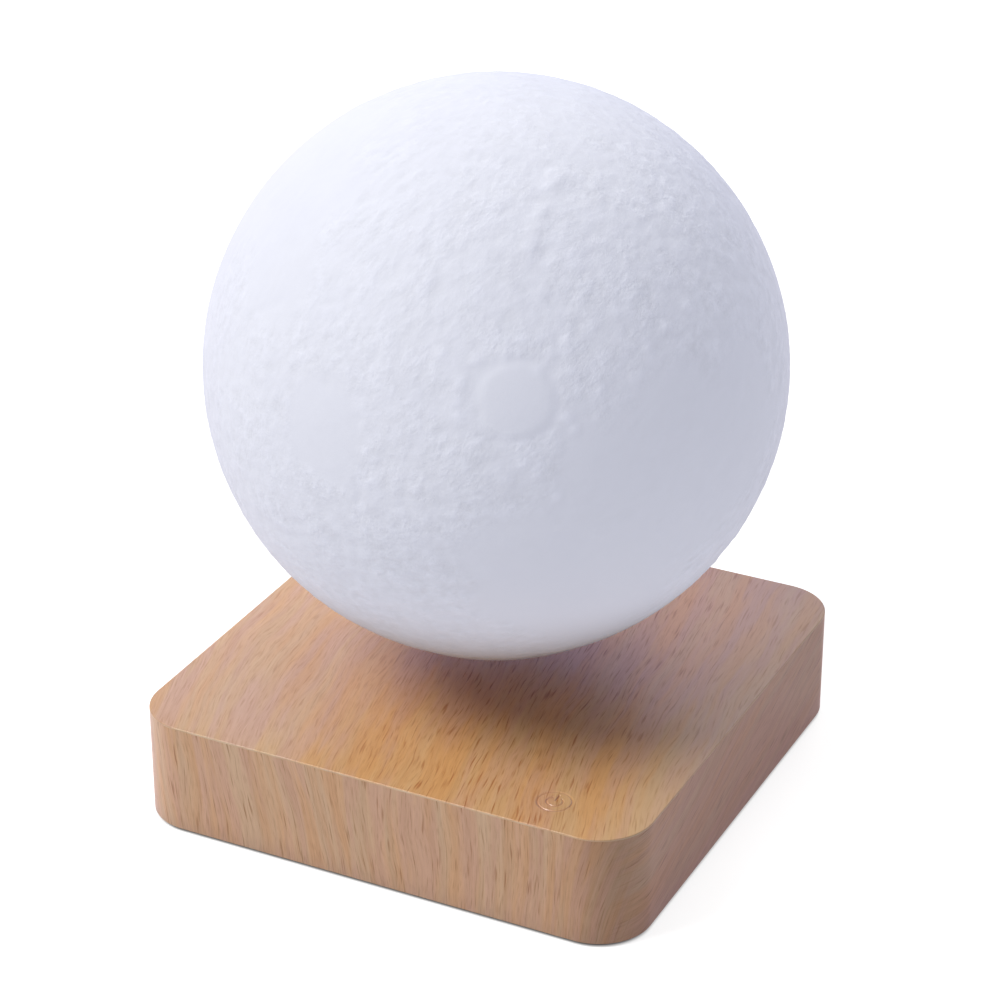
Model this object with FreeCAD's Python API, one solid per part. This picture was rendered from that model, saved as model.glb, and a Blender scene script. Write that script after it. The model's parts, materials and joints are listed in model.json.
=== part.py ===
"""Levitating moon lamp: a ball-shaped lamp that hovers over a square wooden base.

Millimetres, +Z up. The origin is the middle of the plane that the four feet
stand on. +X is to the right and -Y is to the front, where the touch mark is.
The base holds a ring magnet, four coils that steady the floating magnet, and a
flat coil that sends power upwards. The moon holds the floating magnet, the
receiving coil and the board of light-emitting diodes.
"""
import FreeCAD
import Part
import math
import os

# ---------------------------------------------------------------- base housing
BASE_SIDE = 142.0
BASE_CORNER_RADIUS = 14.5
HOUSING_HEIGHT = 30.5
SIDE_WALL = 5.0
TOP_WALL = 3.0
TOP_VENEER = 0.5
SIDE_VENEER = 0.5
TOP_EDGE_BEVEL = 0.25
PILLAR_SIZE = 13.5
PILLAR_EDGE_RADIUS = 3.0

# ---------------------------------------------------------------- bottom cover
COVER_THICKNESS = 2.5
COVER_RECESS = 0.3
COVER_LEDGE = 2.0
COVER_GAP = 0.15
COVER_SCREW_OFFSET = 59.0
LIP_WIDTH = 1.5
LIP_HEIGHT = 2.4
LIP_LENGTH = 92.0
LIP_GAP = 0.2
VENT_WIDTH = 2.4
VENT_LENGTH = 22.0
VENT_PITCH = 6.0
VENT_COUNT = 7
VENT_ROW_OFFSET = 17.0

# ------------------------------------------------------------------------ feet
FOOT_RADIUS = 7.0
FOOT_OFFSET = 50.0
FOOT_STAND = 1.0
FOOT_RECESS = 1.0
FOOT_EDGE_BEVEL = 0.5
FOOT_GAP = 0.1

# ---------------------------------------------------------------------- screws
SCREW_RADIUS = 1.45
SCREW_LENGTH = 10.0
SCREW_HEAD_RADIUS = 2.8
SCREW_HEAD_HEIGHT = 1.6
SCREW_SLOT_DEPTH = 0.8
SCREW_SLOT_WIDTH = 0.7
SCREW_SLOT_SPAN = 3.6
SCREW_GAP = 0.05
SCREW_PASS_GAP = 0.25

# ----------------------------------------------------------- levitation module
RING_MAGNET_OUTER = 48.0
RING_MAGNET_INNER = 32.0
RING_MAGNET_HEIGHT = 10.0
MAGNET_EDGE_BEVEL = 0.6
MAGNET_GAP = 0.3
TRAY_FLOOR = 2.0
TRAY_RIM_WIDTH = 2.0
TRAY_HUB_WIDTH = 1.5
TRAY_RIM_HEIGHT = 9.0
EAR_RADIUS = 5.0
EAR_THICKNESS = 3.0
EAR_SCREW_CLEARANCE = 3.9
COIL_COUNT = 4
COIL_CIRCLE_RADIUS = 17.5
BOBBIN_RADIUS = 11.0
BOBBIN_HEIGHT = 9.6
BOBBIN_FLANGE = 0.8
BOBBIN_TUBE_WALL = 0.8
CORE_RADIUS = 3.1
CORE_PROUD = 0.4
CORE_BEVEL = 0.4
CORE_GAP = 0.1
WINDING_INSET = 0.6
WINDING_CROWN = 0.5
WINDING_GAP = 0.05
HALL_POST_RADIUS = 2.6
HALL_POST_HEIGHT = 4.5
HALL_BOARD_SIZE = 8.6
HALL_BOARD_THICKNESS = 1.0
HALL_SENSOR_SIZE = (2.9, 1.6, 1.1)
HALL_SENSOR_OFFSET = 2.6

# ------------------------------------------------------------ transmitter coil
TRANSMITTER_OUTER = 46.0
TRANSMITTER_INNER = 35.0
TRANSMITTER_HEIGHT = 2.2
TRANSMITTER_GAP = 0.5
FERRITE_THICKNESS = 0.8
FERRITE_MARGIN = 1.2
COIL_EDGE_BEVEL = 0.5

# --------------------------------------------------------------- control board
BOARD_WIDTH = 112.0
BOARD_FRONT = -52.0
BOARD_BACK = 64.5
BOARD_THICKNESS = 1.6
BOARD_BACK_CUT = 18.0
BOARD_FRONT_CUT = 6.0
BOARD_HEIGHT_SHARE = 0.4
BOARD_POST_RADIUS = 3.0
BOARD_POST_X = 46.0
BOARD_POST_Y = 40.0
BOARD_SCREW_LENGTH = 5.0
PAN_HEAD_HEIGHT = 1.8
PAN_HEAD_BEVEL = 0.6
CHIP_SIZE = (5.0, 6.2, 1.6)
CHIP_ROW_X = 9.5
CHIP_COUNT = 4
CHIP_ROW_Y = 18.0
PROCESSOR_SIZE = (7.0, 7.0, 1.2)
CAPACITOR_RADIUS = 4.0
CAPACITOR_HEIGHT = 11.5
CAPACITOR_PLACES = ((-20.0, 57.0), (-31.5, 52.0))
CAPACITOR_GROOVE_DEPTH = 0.4
CAPACITOR_GROOVE_HEIGHT = 1.4
INDUCTOR_SIZE = (12.0, 12.0, 7.0)
INDUCTOR_PLACE = (26.0, 56.5)
INDUCTOR_CORNER = 2.5

# ----------------------------------------------------------------- power inlet
JACK_WIDTH = 9.0
JACK_HEIGHT = 11.0
JACK_LENGTH = 14.0
JACK_AXIS_HEIGHT = 6.5
JACK_BARREL_RADIUS = 4.5
JACK_BARREL_LENGTH = 3.3
JACK_BORE_RADIUS = 3.15
JACK_BORE_DEPTH = 9.5
JACK_RECESS = 0.8
JACK_GAP = 0.3
JACK_PIN_RADIUS = 1.0
JACK_PIN_ROOT = 3.5
JACK_PIN_ROOT_RADIUS = 0.8
JACK_PIN_RECESS = 0.5
JACK_PIN_NOSE = 0.4
JACK_PIN_GAP = 0.05

# ---------------------------------------------------------------- touch sensor
TOUCH_X = 45.4
TOUCH_Y = -58.8
TOUCH_PAD_RADIUS = 5.5
TOUCH_PAD_THICKNESS = 0.5
TOUCH_BOARD_SIZE = (12.6, 11.8, 1.0)
TOUCH_CHIP_SIZE = (3.0, 3.0, 1.2)

# ------------------------------------------------------------- internal leads
LEAD_RADIUS = 1.1
LEAD_CLEARANCE = 2.0
LEAD_BEND_SHARE = 0.45
TOUCH_LEAD_SHIFT = 4.2
RECEIVER_LEAD_RADIUS = 0.8
RECEIVER_LEAD_SPACING = 3.0

# ------------------------------------------------------------------------ moon
MOON_RADIUS = 75.0
MOON_WALL = 1.6
HOVER_GAP = 9.5
MOUTH_REBATE_WIDTH = 2.4
MOUTH_REBATE_DEPTH = 2.0
MOUTH_LEDGE = 2.2
COLLAR_WALL = 2.2
COLLAR_HEIGHT = 9.6
SEAM_GAP = 0.2

# --------------------------------------------------------- float cup and magnet
CUP_WALL = 1.8
CUP_SEAT_WALL = 1.9
CUP_TOP_ABOVE_COLLAR = 2.0
FLOAT_MAGNET_RADIUS = 23.0
FLOAT_MAGNET_HEIGHT = 10.0
FLOAT_GAP = 0.3
POCKET_GAP = 0.5
POCKET_RING_WIDTH = 4.2
POCKET_POST_RADIUS = 3.0
DIVIDER_WALL = 1.2
DIVIDER_HEIGHT = 4.6
RECEIVER_WIDTH = 4.9
RECEIVER_HEIGHT = 6.0
RECEIVER_GAP = 0.3
SHOULDER_WIDTH = 0.8
LED_BOARD_THICKNESS = 1.6
LED_BOARD_RIM_BELOW_CUP = 0.4
LED_SIZE = (5.0, 5.0, 1.6)
LED_RINGS = ((22.0, 8), (9.0, 4))
RECTIFIER_SIZES = ((6.0, 6.0, 2.8), (4.5, 3.2, 2.0), (3.0, 3.0, 1.0))
RECTIFIER_CIRCLE_RADIUS = 13.0

# ------------------------------------------------- how far joined shapes run in
OVERLAP = 0.5
TINY = 1e-6

# ------------------------------------------------------------- derived heights
HOUSING_BOTTOM = FOOT_STAND
HOUSING_TOP = HOUSING_BOTTOM + HOUSING_HEIGHT
CEILING = HOUSING_TOP - TOP_WALL
COVER_BOTTOM = HOUSING_BOTTOM + COVER_RECESS
COVER_TOP = COVER_BOTTOM + COVER_THICKNESS
TRANSMITTER_TOP = CEILING - TRANSMITTER_GAP
TRANSMITTER_BOTTOM = TRANSMITTER_TOP - TRANSMITTER_HEIGHT
RING_MAGNET_TOP = TRANSMITTER_BOTTOM - FERRITE_THICKNESS
TRAY_FLOOR_TOP = RING_MAGNET_TOP - RING_MAGNET_HEIGHT
TRAY_BOTTOM = TRAY_FLOOR_TOP - TRAY_FLOOR
EAR_TOP = TRAY_FLOOR_TOP + EAR_THICKNESS
BOARD_ROOM = TRAY_BOTTOM - COVER_TOP - BOARD_THICKNESS
BOARD_BOTTOM = COVER_TOP + BOARD_HEIGHT_SHARE * BOARD_ROOM
BOARD_TOP = BOARD_BOTTOM + BOARD_THICKNESS
JACK_AXIS_Z = BOARD_TOP + JACK_AXIS_HEIGHT
MOON_Z = HOUSING_TOP + HOVER_GAP + MOON_RADIUS

# -------------------------------------------------- derived widths of the base
HALF = BASE_SIDE / 2
INNER_HALF = HALF - SIDE_WALL
COVER_SEAT_HALF = INNER_HALF + COVER_LEDGE
JACK_FRONT_Y = HALF - JACK_RECESS
JACK_BACK_Y = JACK_FRONT_Y - JACK_LENGTH
TRAY_RADIUS = RING_MAGNET_OUTER + MAGNET_GAP + TRAY_RIM_WIDTH
EAR_CIRCLE_RADIUS = TRAY_RADIUS + EAR_SCREW_CLEARANCE + SCREW_HEAD_RADIUS

Z_AXIS = FreeCAD.Vector(0, 0, 1)
Y_AXIS = FreeCAD.Vector(0, 1, 0)


def at(x, y, z=0.0):
    """A point, as FreeCAD writes one."""
    return FreeCAD.Vector(x, y, z)


def block(size, centre_x, centre_y, bottom):
    """An upright box of the given size on a centre and a lowest height."""
    width, depth, height = size
    corner = at(centre_x - width / 2, centre_y - depth / 2, bottom)
    return Part.makeBox(width, depth, height, corner)


def inlet_bar(radius, start_y, end_y):
    """A round bar along the inlet's axis, from one distance back to another."""
    return Part.makeCylinder(radius, end_y - start_y, at(0, start_y, JACK_AXIS_Z), Y_AXIS)


def rod(radius, bottom, top, x=0.0, y=0.0):
    """An upright round bar from one height to another."""
    return Part.makeCylinder(radius, top - bottom, at(x, y, bottom), Z_AXIS)


def ring(inner, outer, bottom, top):
    """An upright round ring about the Z axis."""
    return rod(outer, bottom, top).cut(rod(inner, bottom, top))


def upright_edges(shape):
    """The straight edges of a shape that run along Z."""
    found = []
    for edge in shape.Edges:
        start, end = edge.Vertexes[0].Point, edge.Vertexes[-1].Point
        if abs(start.z - end.z) > TINY and math.hypot(start.x - end.x, start.y - end.y) < TINY:
            found.append(edge)
    return found


def rounded_slab(half, radius, bottom, top):
    """A square slab with round corners, centred on the Z axis."""
    slab = block((2 * half, 2 * half, top - bottom), 0, 0, bottom)
    return slab.makeFillet(radius, upright_edges(slab))


def concentric_corner(half):
    """The corner radius that keeps an inner square parallel to the base's outline."""
    return BASE_CORNER_RADIUS - (HALF - half)


def base_slab(half, bottom, top):
    """A slab parallel to the base's outline, at any distance inside it."""
    return rounded_slab(half, concentric_corner(half), bottom, top)


def fuse(shapes):
    """One solid made of shapes that meet, with the seams between them removed."""
    whole = shapes[0].multiFuse(shapes[1:])
    return whole.removeSplitter()


def four_corners(offset_x, offset_y):
    """The four places at plus and minus two offsets."""
    return [(sx * offset_x, sy * offset_y) for sx in (-1, 1) for sy in (-1, 1)]


def on_circle(radius, count, start=0.0):
    """Places spread evenly round the Z axis, each with its angle in degrees."""
    places = []
    for index in range(count):
        angle = start + 360.0 * index / count
        turn = math.radians(angle)
        places.append((radius * math.cos(turn), radius * math.sin(turn), angle))
    return places


def ball_height(radius, reach):
    """How far below a ball's centre its surface lies at a reach from the axis."""
    return -math.sqrt(radius**2 - reach**2)


def ball_reach(radius, height):
    """How far from the axis a ball's surface lies at a height from its centre."""
    return math.sqrt(radius**2 - height**2)


def ball_arc(radius, start, end):
    """An arc about the origin in the XZ plane, from one (reach, height) to another."""
    first = math.atan2(start[1], start[0])
    last = math.atan2(end[1], end[0])
    middle = (first + last) / 2
    points = [at(radius * math.cos(turn), 0, radius * math.sin(turn)) for turn in (first, middle, last)]
    return Part.Arc(*points).toShape()


def steps(*places):
    """Straight edges through (reach, height) points in the XZ plane."""
    points = [at(reach, 0, height) for reach, height in places]
    return [Part.makeLine(first, second) for first, second in zip(points, points[1:])]


def turned(edges, x=0.0, y=0.0, z=0.0):
    """The solid that a closed half-section sweeps when it is turned about its axis."""
    wire = Part.Wire(Part.__sortEdges__(edges))
    solid = Part.Face(wire).revolve(at(0, 0), Z_AXIS, 360)
    solid.translate(at(x, y, z))
    return solid


def bevelled_ring(inner, outer, bottom, top, bevel):
    """A ring whose four edges are bevelled."""
    edges = steps(
        (inner + bevel, bottom),
        (outer - bevel, bottom),
        (outer, bottom + bevel),
        (outer, top - bevel),
        (outer - bevel, top),
        (inner + bevel, top),
        (inner, top - bevel),
        (inner, bottom + bevel),
        (inner + bevel, bottom),
    )
    return turned(edges)


def bevelled_rod(radius, bottom, top, bevel, x=0.0, y=0.0):
    """A round bar with both ends bevelled."""
    edges = steps(
        (0, bottom),
        (radius - bevel, bottom),
        (radius, bottom + bevel),
        (radius, top - bevel),
        (radius - bevel, top),
        (0, top),
        (0, bottom),
    )
    return turned(edges, x, y)


def cross_slot(x, y, opening, depth, up):
    """The cross that a screwdriver turns, cut from an opening height into a head."""
    bottom = opening - depth if up else opening
    across = block((SCREW_SLOT_SPAN, SCREW_SLOT_WIDTH, depth), x, y, bottom)
    along = block((SCREW_SLOT_WIDTH, SCREW_SLOT_SPAN, depth), x, y, bottom)
    return across.fuse(along)


def countersunk_screw(x, y, head_face, length):
    """A screw driven upwards, with its conical head's face at the given height."""
    neck = head_face + SCREW_HEAD_HEIGHT
    tip = head_face + length
    edges = steps(
        (0, head_face),
        (SCREW_HEAD_RADIUS, head_face),
        (SCREW_RADIUS, neck),
        (SCREW_RADIUS, tip - SCREW_RADIUS),
        (0, tip),
        (0, head_face),
    )
    screw = turned(edges, x, y)
    return screw.cut(cross_slot(x, y, head_face, SCREW_SLOT_DEPTH, up=False))


def pan_screw(x, y, seat, length, up):
    """A pan-headed screw. Its head lies on the seat and its shank points up or down."""
    head_top = seat + PAN_HEAD_HEIGHT
    head = rod(SCREW_HEAD_RADIUS, seat, head_top, x, y)
    rim = [edge for edge in head.Edges if edge.isClosed() and edge.CenterOfMass.z > seat + TINY]
    head = head.makeChamfer(PAN_HEAD_BEVEL, rim)
    head = head.cut(cross_slot(x, y, head_top, SCREW_SLOT_DEPTH, up=True))
    shank = rod(SCREW_RADIUS, seat - length, seat, x, y)
    screw = fuse([head, shank])
    if up:
        screw.rotate(at(x, y, seat), at(1, 0, 0), 180)
    return screw


def bent_tube(points, radius):
    """A round lead along straight runs that are joined by arcs."""
    places = [at(*point) for point in points]
    edges = []
    start = places[0]
    for before, corner, after in zip(places, places[1:], places[2:]):
        back = (before - corner).normalize()
        on = (after - corner).normalize()
        half_turn = (math.pi - back.getAngle(on)) / 2
        shorter = min((before - corner).Length, (after - corner).Length)
        reach = LEAD_BEND_SHARE * shorter
        bend = reach / math.tan(half_turn)
        inward = (back + on).normalize()
        middle = corner + inward * (bend / math.cos(half_turn) - bend)
        edges.append(Part.makeLine(start, corner + back * reach))
        edges.append(Part.Arc(corner + back * reach, middle, corner + on * reach).toShape())
        start = corner + on * reach
        print(f"lead bend radius {bend:.1f} mm")
    edges.append(Part.makeLine(start, places[-1]))
    path = Part.Wire(edges)
    end = Part.Wire(Part.makeCircle(radius, places[0], places[1] - places[0]))
    return path.makePipeShell([end], True, False)


# --------------------------------------------------------------- base housing
def jack_opening():
    """The round hole for the inlet's barrel, with the pocket for its body behind."""
    hole = inlet_bar(JACK_BARREL_RADIUS + JACK_GAP, INNER_HALF - OVERLAP, HALF + OVERLAP)
    pocket_depth = JACK_FRONT_Y - JACK_BARREL_LENGTH + JACK_GAP - INNER_HALF
    pocket_size = (JACK_WIDTH + 2 * JACK_GAP, pocket_depth, JACK_HEIGHT + 2 * JACK_GAP)
    return hole.fuse(block(pocket_size, 0, INNER_HALF + pocket_depth / 2, BOARD_TOP - JACK_GAP))


def housing_core():
    """The body of the base, hollowed from below, with a pillar in each corner."""
    veneered_top = HOUSING_TOP - TOP_VENEER
    body = base_slab(HALF - SIDE_VENEER, HOUSING_BOTTOM, veneered_top)
    seat = base_slab(COVER_SEAT_HALF, HOUSING_BOTTOM, COVER_TOP)
    hollow = base_slab(INNER_HALF, COVER_TOP, CEILING)
    for x, y in four_corners(1, 1):
        inward = INNER_HALF - PILLAR_SIZE
        pillar = Part.makeBox(PILLAR_SIZE, PILLAR_SIZE, CEILING - COVER_TOP, at(inward, inward, COVER_TOP))
        corner_edge = [
            edge
            for edge in upright_edges(pillar)
            if math.hypot(edge.CenterOfMass.x - inward, edge.CenterOfMass.y - inward) < TINY
        ]
        pillar = pillar.makeFillet(PILLAR_EDGE_RADIUS, corner_edge)
        pillar = pillar.mirror(at(0, 0), at(1, 0)) if x < 0 else pillar
        pillar = pillar.mirror(at(0, 0), at(0, 1)) if y < 0 else pillar
        hollow = hollow.cut(pillar)
    body = body.cut(seat).cut(hollow).cut(jack_opening())
    bosses = [rod(EAR_RADIUS, EAR_TOP, CEILING + OVERLAP, x, y) for x, y in ear_places()]
    body = fuse([body] + bosses)
    pilot_top = COVER_BOTTOM + SCREW_LENGTH + SCREW_GAP
    pilots = [
        rod(SCREW_RADIUS + SCREW_GAP, COVER_TOP - OVERLAP, pilot_top, x, y)
        for x, y in four_corners(COVER_SCREW_OFFSET, COVER_SCREW_OFFSET)
    ]
    ear_pilot_top = TRAY_FLOOR_TOP + SCREW_LENGTH + SCREW_GAP
    for x, y in ear_places():
        pilots.append(rod(SCREW_RADIUS + SCREW_GAP, EAR_TOP - OVERLAP, ear_pilot_top, x, y))
    return body.cut(Part.makeCompound(pilots))


def side_veneer():
    """The thin wooden band round the four sides."""
    top = HOUSING_TOP - TOP_VENEER
    band = base_slab(HALF, HOUSING_BOTTOM, top).cut(base_slab(HALF - SIDE_VENEER, HOUSING_BOTTOM, top))
    return band.cut(jack_opening())


def top_veneer():
    """The thin wooden sheet over the top, with its upper edge eased."""
    sheet = base_slab(HALF, HOUSING_TOP - TOP_VENEER, HOUSING_TOP)
    rim = [edge for edge in sheet.Edges if min(v.Z for v in edge.Vertexes) > HOUSING_TOP - TINY]
    return sheet.makeChamfer(TOP_EDGE_BEVEL, rim)


# --------------------------------------------------------------- bottom cover
def bottom_cover():
    """The plate that closes the base, with its vents, lips, posts and foot recesses."""
    plate = base_slab(COVER_SEAT_HALF - COVER_GAP, COVER_BOTTOM, COVER_TOP)
    lip_middle = INNER_HALF - LIP_GAP - LIP_WIDTH / 2
    added = [plate]
    for sign in (-1, 1):
        added.append(block((LIP_LENGTH, LIP_WIDTH, LIP_HEIGHT), 0, sign * lip_middle, COVER_TOP))
        added.append(block((LIP_WIDTH, LIP_LENGTH, LIP_HEIGHT), sign * lip_middle, 0, COVER_TOP))
    for x, y in four_corners(BOARD_POST_X, BOARD_POST_Y):
        added.append(rod(BOARD_POST_RADIUS, COVER_TOP, BOARD_BOTTOM, x, y))
    cover = fuse(added)
    removed = [foot_recess(x, y) for x, y in four_corners(FOOT_OFFSET, FOOT_OFFSET)]
    removed += [cover_screw_hole(x, y) for x, y in four_corners(COVER_SCREW_OFFSET, COVER_SCREW_OFFSET)]
    removed += vents()
    for x, y in four_corners(BOARD_POST_X, BOARD_POST_Y):
        pilot_bottom = BOARD_TOP - BOARD_SCREW_LENGTH - SCREW_GAP
        removed.append(rod(SCREW_RADIUS + SCREW_GAP, pilot_bottom, BOARD_BOTTOM, x, y))
    return cover.cut(Part.makeCompound(removed))


def foot_recess(x, y):
    """The shallow round recess that a foot is stuck into."""
    return rod(FOOT_RADIUS + FOOT_GAP, COVER_BOTTOM, COVER_BOTTOM + FOOT_RECESS, x, y)


def cover_screw_hole(x, y):
    """A countersunk hole through the cover."""
    hole_radius = SCREW_RADIUS + SCREW_PASS_GAP
    head_radius = SCREW_HEAD_RADIUS + SCREW_PASS_GAP
    sink = COVER_BOTTOM + SCREW_HEAD_HEIGHT
    edges = steps(
        (0, COVER_BOTTOM),
        (head_radius, COVER_BOTTOM),
        (hole_radius, sink),
        (hole_radius, COVER_TOP),
        (0, COVER_TOP),
        (0, COVER_BOTTOM),
    )
    return turned(edges, x, y)


def vents():
    """Two rows of round-ended slots that let the warm air in and out."""
    slots = []
    straight = VENT_LENGTH - VENT_WIDTH
    for row in (-VENT_ROW_OFFSET, VENT_ROW_OFFSET):
        for index in range(VENT_COUNT):
            x = (index - (VENT_COUNT - 1) / 2) * VENT_PITCH
            slot = block((VENT_WIDTH, straight, COVER_THICKNESS), x, row, COVER_BOTTOM)
            for end in (-straight / 2, straight / 2):
                slot = slot.fuse(rod(VENT_WIDTH / 2, COVER_BOTTOM, COVER_TOP, x, row + end))
            slots.append(slot.removeSplitter())
    return slots


def rubber_feet():
    """Four round feet that stand proud of the housing."""
    feet = []
    for x, y in four_corners(FOOT_OFFSET, FOOT_OFFSET):
        foot = rod(FOOT_RADIUS, 0, COVER_BOTTOM + FOOT_RECESS, x, y)
        rim = [edge for edge in foot.Edges if edge.isClosed() and edge.CenterOfMass.z < TINY]
        feet.append(foot.makeChamfer(FOOT_EDGE_BEVEL, rim))
    return Part.makeCompound(feet)


def cover_screws():
    """The four screws that hold the cover."""
    places = four_corners(COVER_SCREW_OFFSET, COVER_SCREW_OFFSET)
    return Part.makeCompound([countersunk_screw(x, y, COVER_BOTTOM, SCREW_LENGTH) for x, y in places])


# ----------------------------------------------------------- levitation module
def ear_places():
    """Where the four ears of the module tray are screwed up into the housing."""
    return [(x, y) for x, y, _ in on_circle(EAR_CIRCLE_RADIUS, 4, 45.0)]


def coil_places():
    """Where the four levitation coils stand."""
    return [(x, y) for x, y, _ in on_circle(COIL_CIRCLE_RADIUS, COIL_COUNT)]


def module_tray():
    """The tray that holds the ring magnet and the four coils."""
    hub_outer = RING_MAGNET_INNER - MAGNET_GAP
    hub_inner = hub_outer - TRAY_HUB_WIDTH
    rim_top = TRAY_FLOOR_TOP + TRAY_RIM_HEIGHT
    added = [
        rod(TRAY_RADIUS, TRAY_BOTTOM, TRAY_FLOOR_TOP),
        ring(TRAY_RADIUS - TRAY_RIM_WIDTH, TRAY_RADIUS, TRAY_FLOOR_TOP, rim_top),
        ring(hub_inner, hub_outer, TRAY_FLOOR_TOP, rim_top),
        rod(HALL_POST_RADIUS, TRAY_FLOOR_TOP, TRAY_FLOOR_TOP + HALL_POST_HEIGHT),
    ]
    for x, y, angle in on_circle(EAR_CIRCLE_RADIUS, 4, 45.0):
        added.append(rod(EAR_RADIUS, TRAY_FLOOR_TOP, EAR_TOP, x, y))
        reach = EAR_CIRCLE_RADIUS - TRAY_RADIUS + TRAY_RIM_WIDTH / 2
        web = Part.makeBox(
            reach,
            2 * EAR_RADIUS,
            EAR_THICKNESS,
            at(TRAY_RADIUS - TRAY_RIM_WIDTH / 2, -EAR_RADIUS, TRAY_FLOOR_TOP),
        )
        web.rotate(at(0, 0), Z_AXIS, angle)
        added.append(web)
    tray = fuse(added)
    holes = [rod(CORE_RADIUS + CORE_GAP, TRAY_BOTTOM, TRAY_FLOOR_TOP, x, y) for x, y in coil_places()]
    holes += [rod(SCREW_RADIUS + SCREW_PASS_GAP, TRAY_FLOOR_TOP, EAR_TOP, x, y) for x, y in ear_places()]
    return tray.cut(Part.makeCompound(holes))


def tray_screws():
    """The four screws that hold the tray up against the housing."""
    return Part.makeCompound(
        [pan_screw(x, y, TRAY_FLOOR_TOP, SCREW_LENGTH, up=True) for x, y in ear_places()]
    )


def ring_magnet():
    """The ring magnet whose field carries the moon."""
    return bevelled_ring(
        RING_MAGNET_INNER, RING_MAGNET_OUTER, TRAY_FLOOR_TOP, RING_MAGNET_TOP, MAGNET_EDGE_BEVEL
    )


def bobbin(x, y):
    """A spool with two flanges."""
    bore = CORE_RADIUS + CORE_GAP
    tube = bore + BOBBIN_TUBE_WALL
    bottom = TRAY_FLOOR_TOP
    top = bottom + BOBBIN_HEIGHT
    edges = steps(
        (bore, bottom),
        (BOBBIN_RADIUS, bottom),
        (BOBBIN_RADIUS, bottom + BOBBIN_FLANGE),
        (tube, bottom + BOBBIN_FLANGE),
        (tube, top - BOBBIN_FLANGE),
        (BOBBIN_RADIUS, top - BOBBIN_FLANGE),
        (BOBBIN_RADIUS, top),
        (bore, top),
        (bore, bottom),
    )
    return turned(edges, x, y)


def winding(x, y):
    """The copper wire on a spool: a ring that bulges slightly in the middle."""
    inner = CORE_RADIUS + CORE_GAP + BOBBIN_TUBE_WALL + WINDING_GAP
    crown = BOBBIN_RADIUS - WINDING_INSET
    outer = crown - WINDING_CROWN
    bottom = TRAY_FLOOR_TOP + BOBBIN_FLANGE + WINDING_GAP
    top = TRAY_FLOOR_TOP + BOBBIN_HEIGHT - BOBBIN_FLANGE - WINDING_GAP
    quarter = (top - bottom) / 4
    edges = steps(
        (inner, bottom),
        (outer, bottom),
        (crown, bottom + quarter),
        (crown, top - quarter),
        (outer, top),
        (inner, top),
        (inner, bottom),
    )
    return turned(edges, x, y)


def coil_core(x, y):
    """The steel pole through a spool, which stands in the tray's floor."""
    top = TRAY_FLOOR_TOP + BOBBIN_HEIGHT + CORE_PROUD
    return bevelled_rod(CORE_RADIUS, TRAY_BOTTOM, top, CORE_BEVEL, x, y)


def hall_board():
    """The small board between the coils that carries the field sensors."""
    bottom = TRAY_FLOOR_TOP + HALL_POST_HEIGHT
    return block((HALL_BOARD_SIZE, HALL_BOARD_SIZE, HALL_BOARD_THICKNESS), 0, 0, bottom)


def hall_sensors():
    """Two field sensors along each axis of the tray, flat on the small board."""
    bottom = TRAY_FLOOR_TOP + HALL_POST_HEIGHT + HALL_BOARD_THICKNESS
    sensors = []
    for x, y, angle in on_circle(HALL_SENSOR_OFFSET, 4):
        sensor = block(HALL_SENSOR_SIZE, HALL_SENSOR_OFFSET, 0, bottom)
        sensor.rotate(at(HALL_SENSOR_OFFSET, 0), Z_AXIS, 90)
        sensor.rotate(at(0, 0), Z_AXIS, angle)
        sensors.append(sensor)
    return Part.makeCompound(sensors)


def transmitter_ferrite():
    """The sheet that keeps the sending coil's field out of the ring magnet."""
    return ring(
        TRANSMITTER_INNER - FERRITE_MARGIN,
        TRANSMITTER_OUTER + FERRITE_MARGIN,
        RING_MAGNET_TOP,
        TRANSMITTER_BOTTOM,
    )


def transmitter_coil():
    """The flat coil that sends power up to the moon."""
    return bevelled_ring(
        TRANSMITTER_INNER, TRANSMITTER_OUTER, TRANSMITTER_BOTTOM, TRANSMITTER_TOP, COIL_EDGE_BEVEL
    )


# --------------------------------------------------------------- control board
def control_board():
    """The main board, cut away at its corners to clear the housing's pillars."""
    half = BOARD_WIDTH / 2
    outline = [
        at(-half + BOARD_FRONT_CUT, BOARD_FRONT, BOARD_BOTTOM),
        at(half - BOARD_FRONT_CUT, BOARD_FRONT, BOARD_BOTTOM),
        at(half, BOARD_FRONT + BOARD_FRONT_CUT, BOARD_BOTTOM),
        at(half, BOARD_BACK - BOARD_BACK_CUT, BOARD_BOTTOM),
        at(half - BOARD_BACK_CUT, BOARD_BACK, BOARD_BOTTOM),
        at(-half + BOARD_BACK_CUT, BOARD_BACK, BOARD_BOTTOM),
        at(-half, BOARD_BACK - BOARD_BACK_CUT, BOARD_BOTTOM),
        at(-half, BOARD_FRONT + BOARD_FRONT_CUT, BOARD_BOTTOM),
    ]
    board = Part.Face(Part.makePolygon(outline + outline[:1])).extrude(Z_AXIS * BOARD_THICKNESS)
    holes = [
        rod(SCREW_RADIUS + SCREW_PASS_GAP, BOARD_BOTTOM, BOARD_TOP, x, y)
        for x, y in four_corners(BOARD_POST_X, BOARD_POST_Y)
    ]
    return board.cut(Part.makeCompound(holes))


def board_screws():
    """The four screws that hold the main board on the cover's posts."""
    places = four_corners(BOARD_POST_X, BOARD_POST_Y)
    length = BOARD_SCREW_LENGTH
    return Part.makeCompound([pan_screw(x, y, BOARD_TOP, length, up=False) for x, y in places])


def control_chips():
    """The processor and the chips that drive the coils."""
    chips = [block(PROCESSOR_SIZE, 0, 0, BOARD_TOP)]
    for index in range(CHIP_COUNT):
        x = (index - (CHIP_COUNT - 1) / 2) * CHIP_ROW_X
        chips.append(block(CHIP_SIZE, x, CHIP_ROW_Y, BOARD_TOP))
    return Part.makeCompound(chips)


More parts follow.
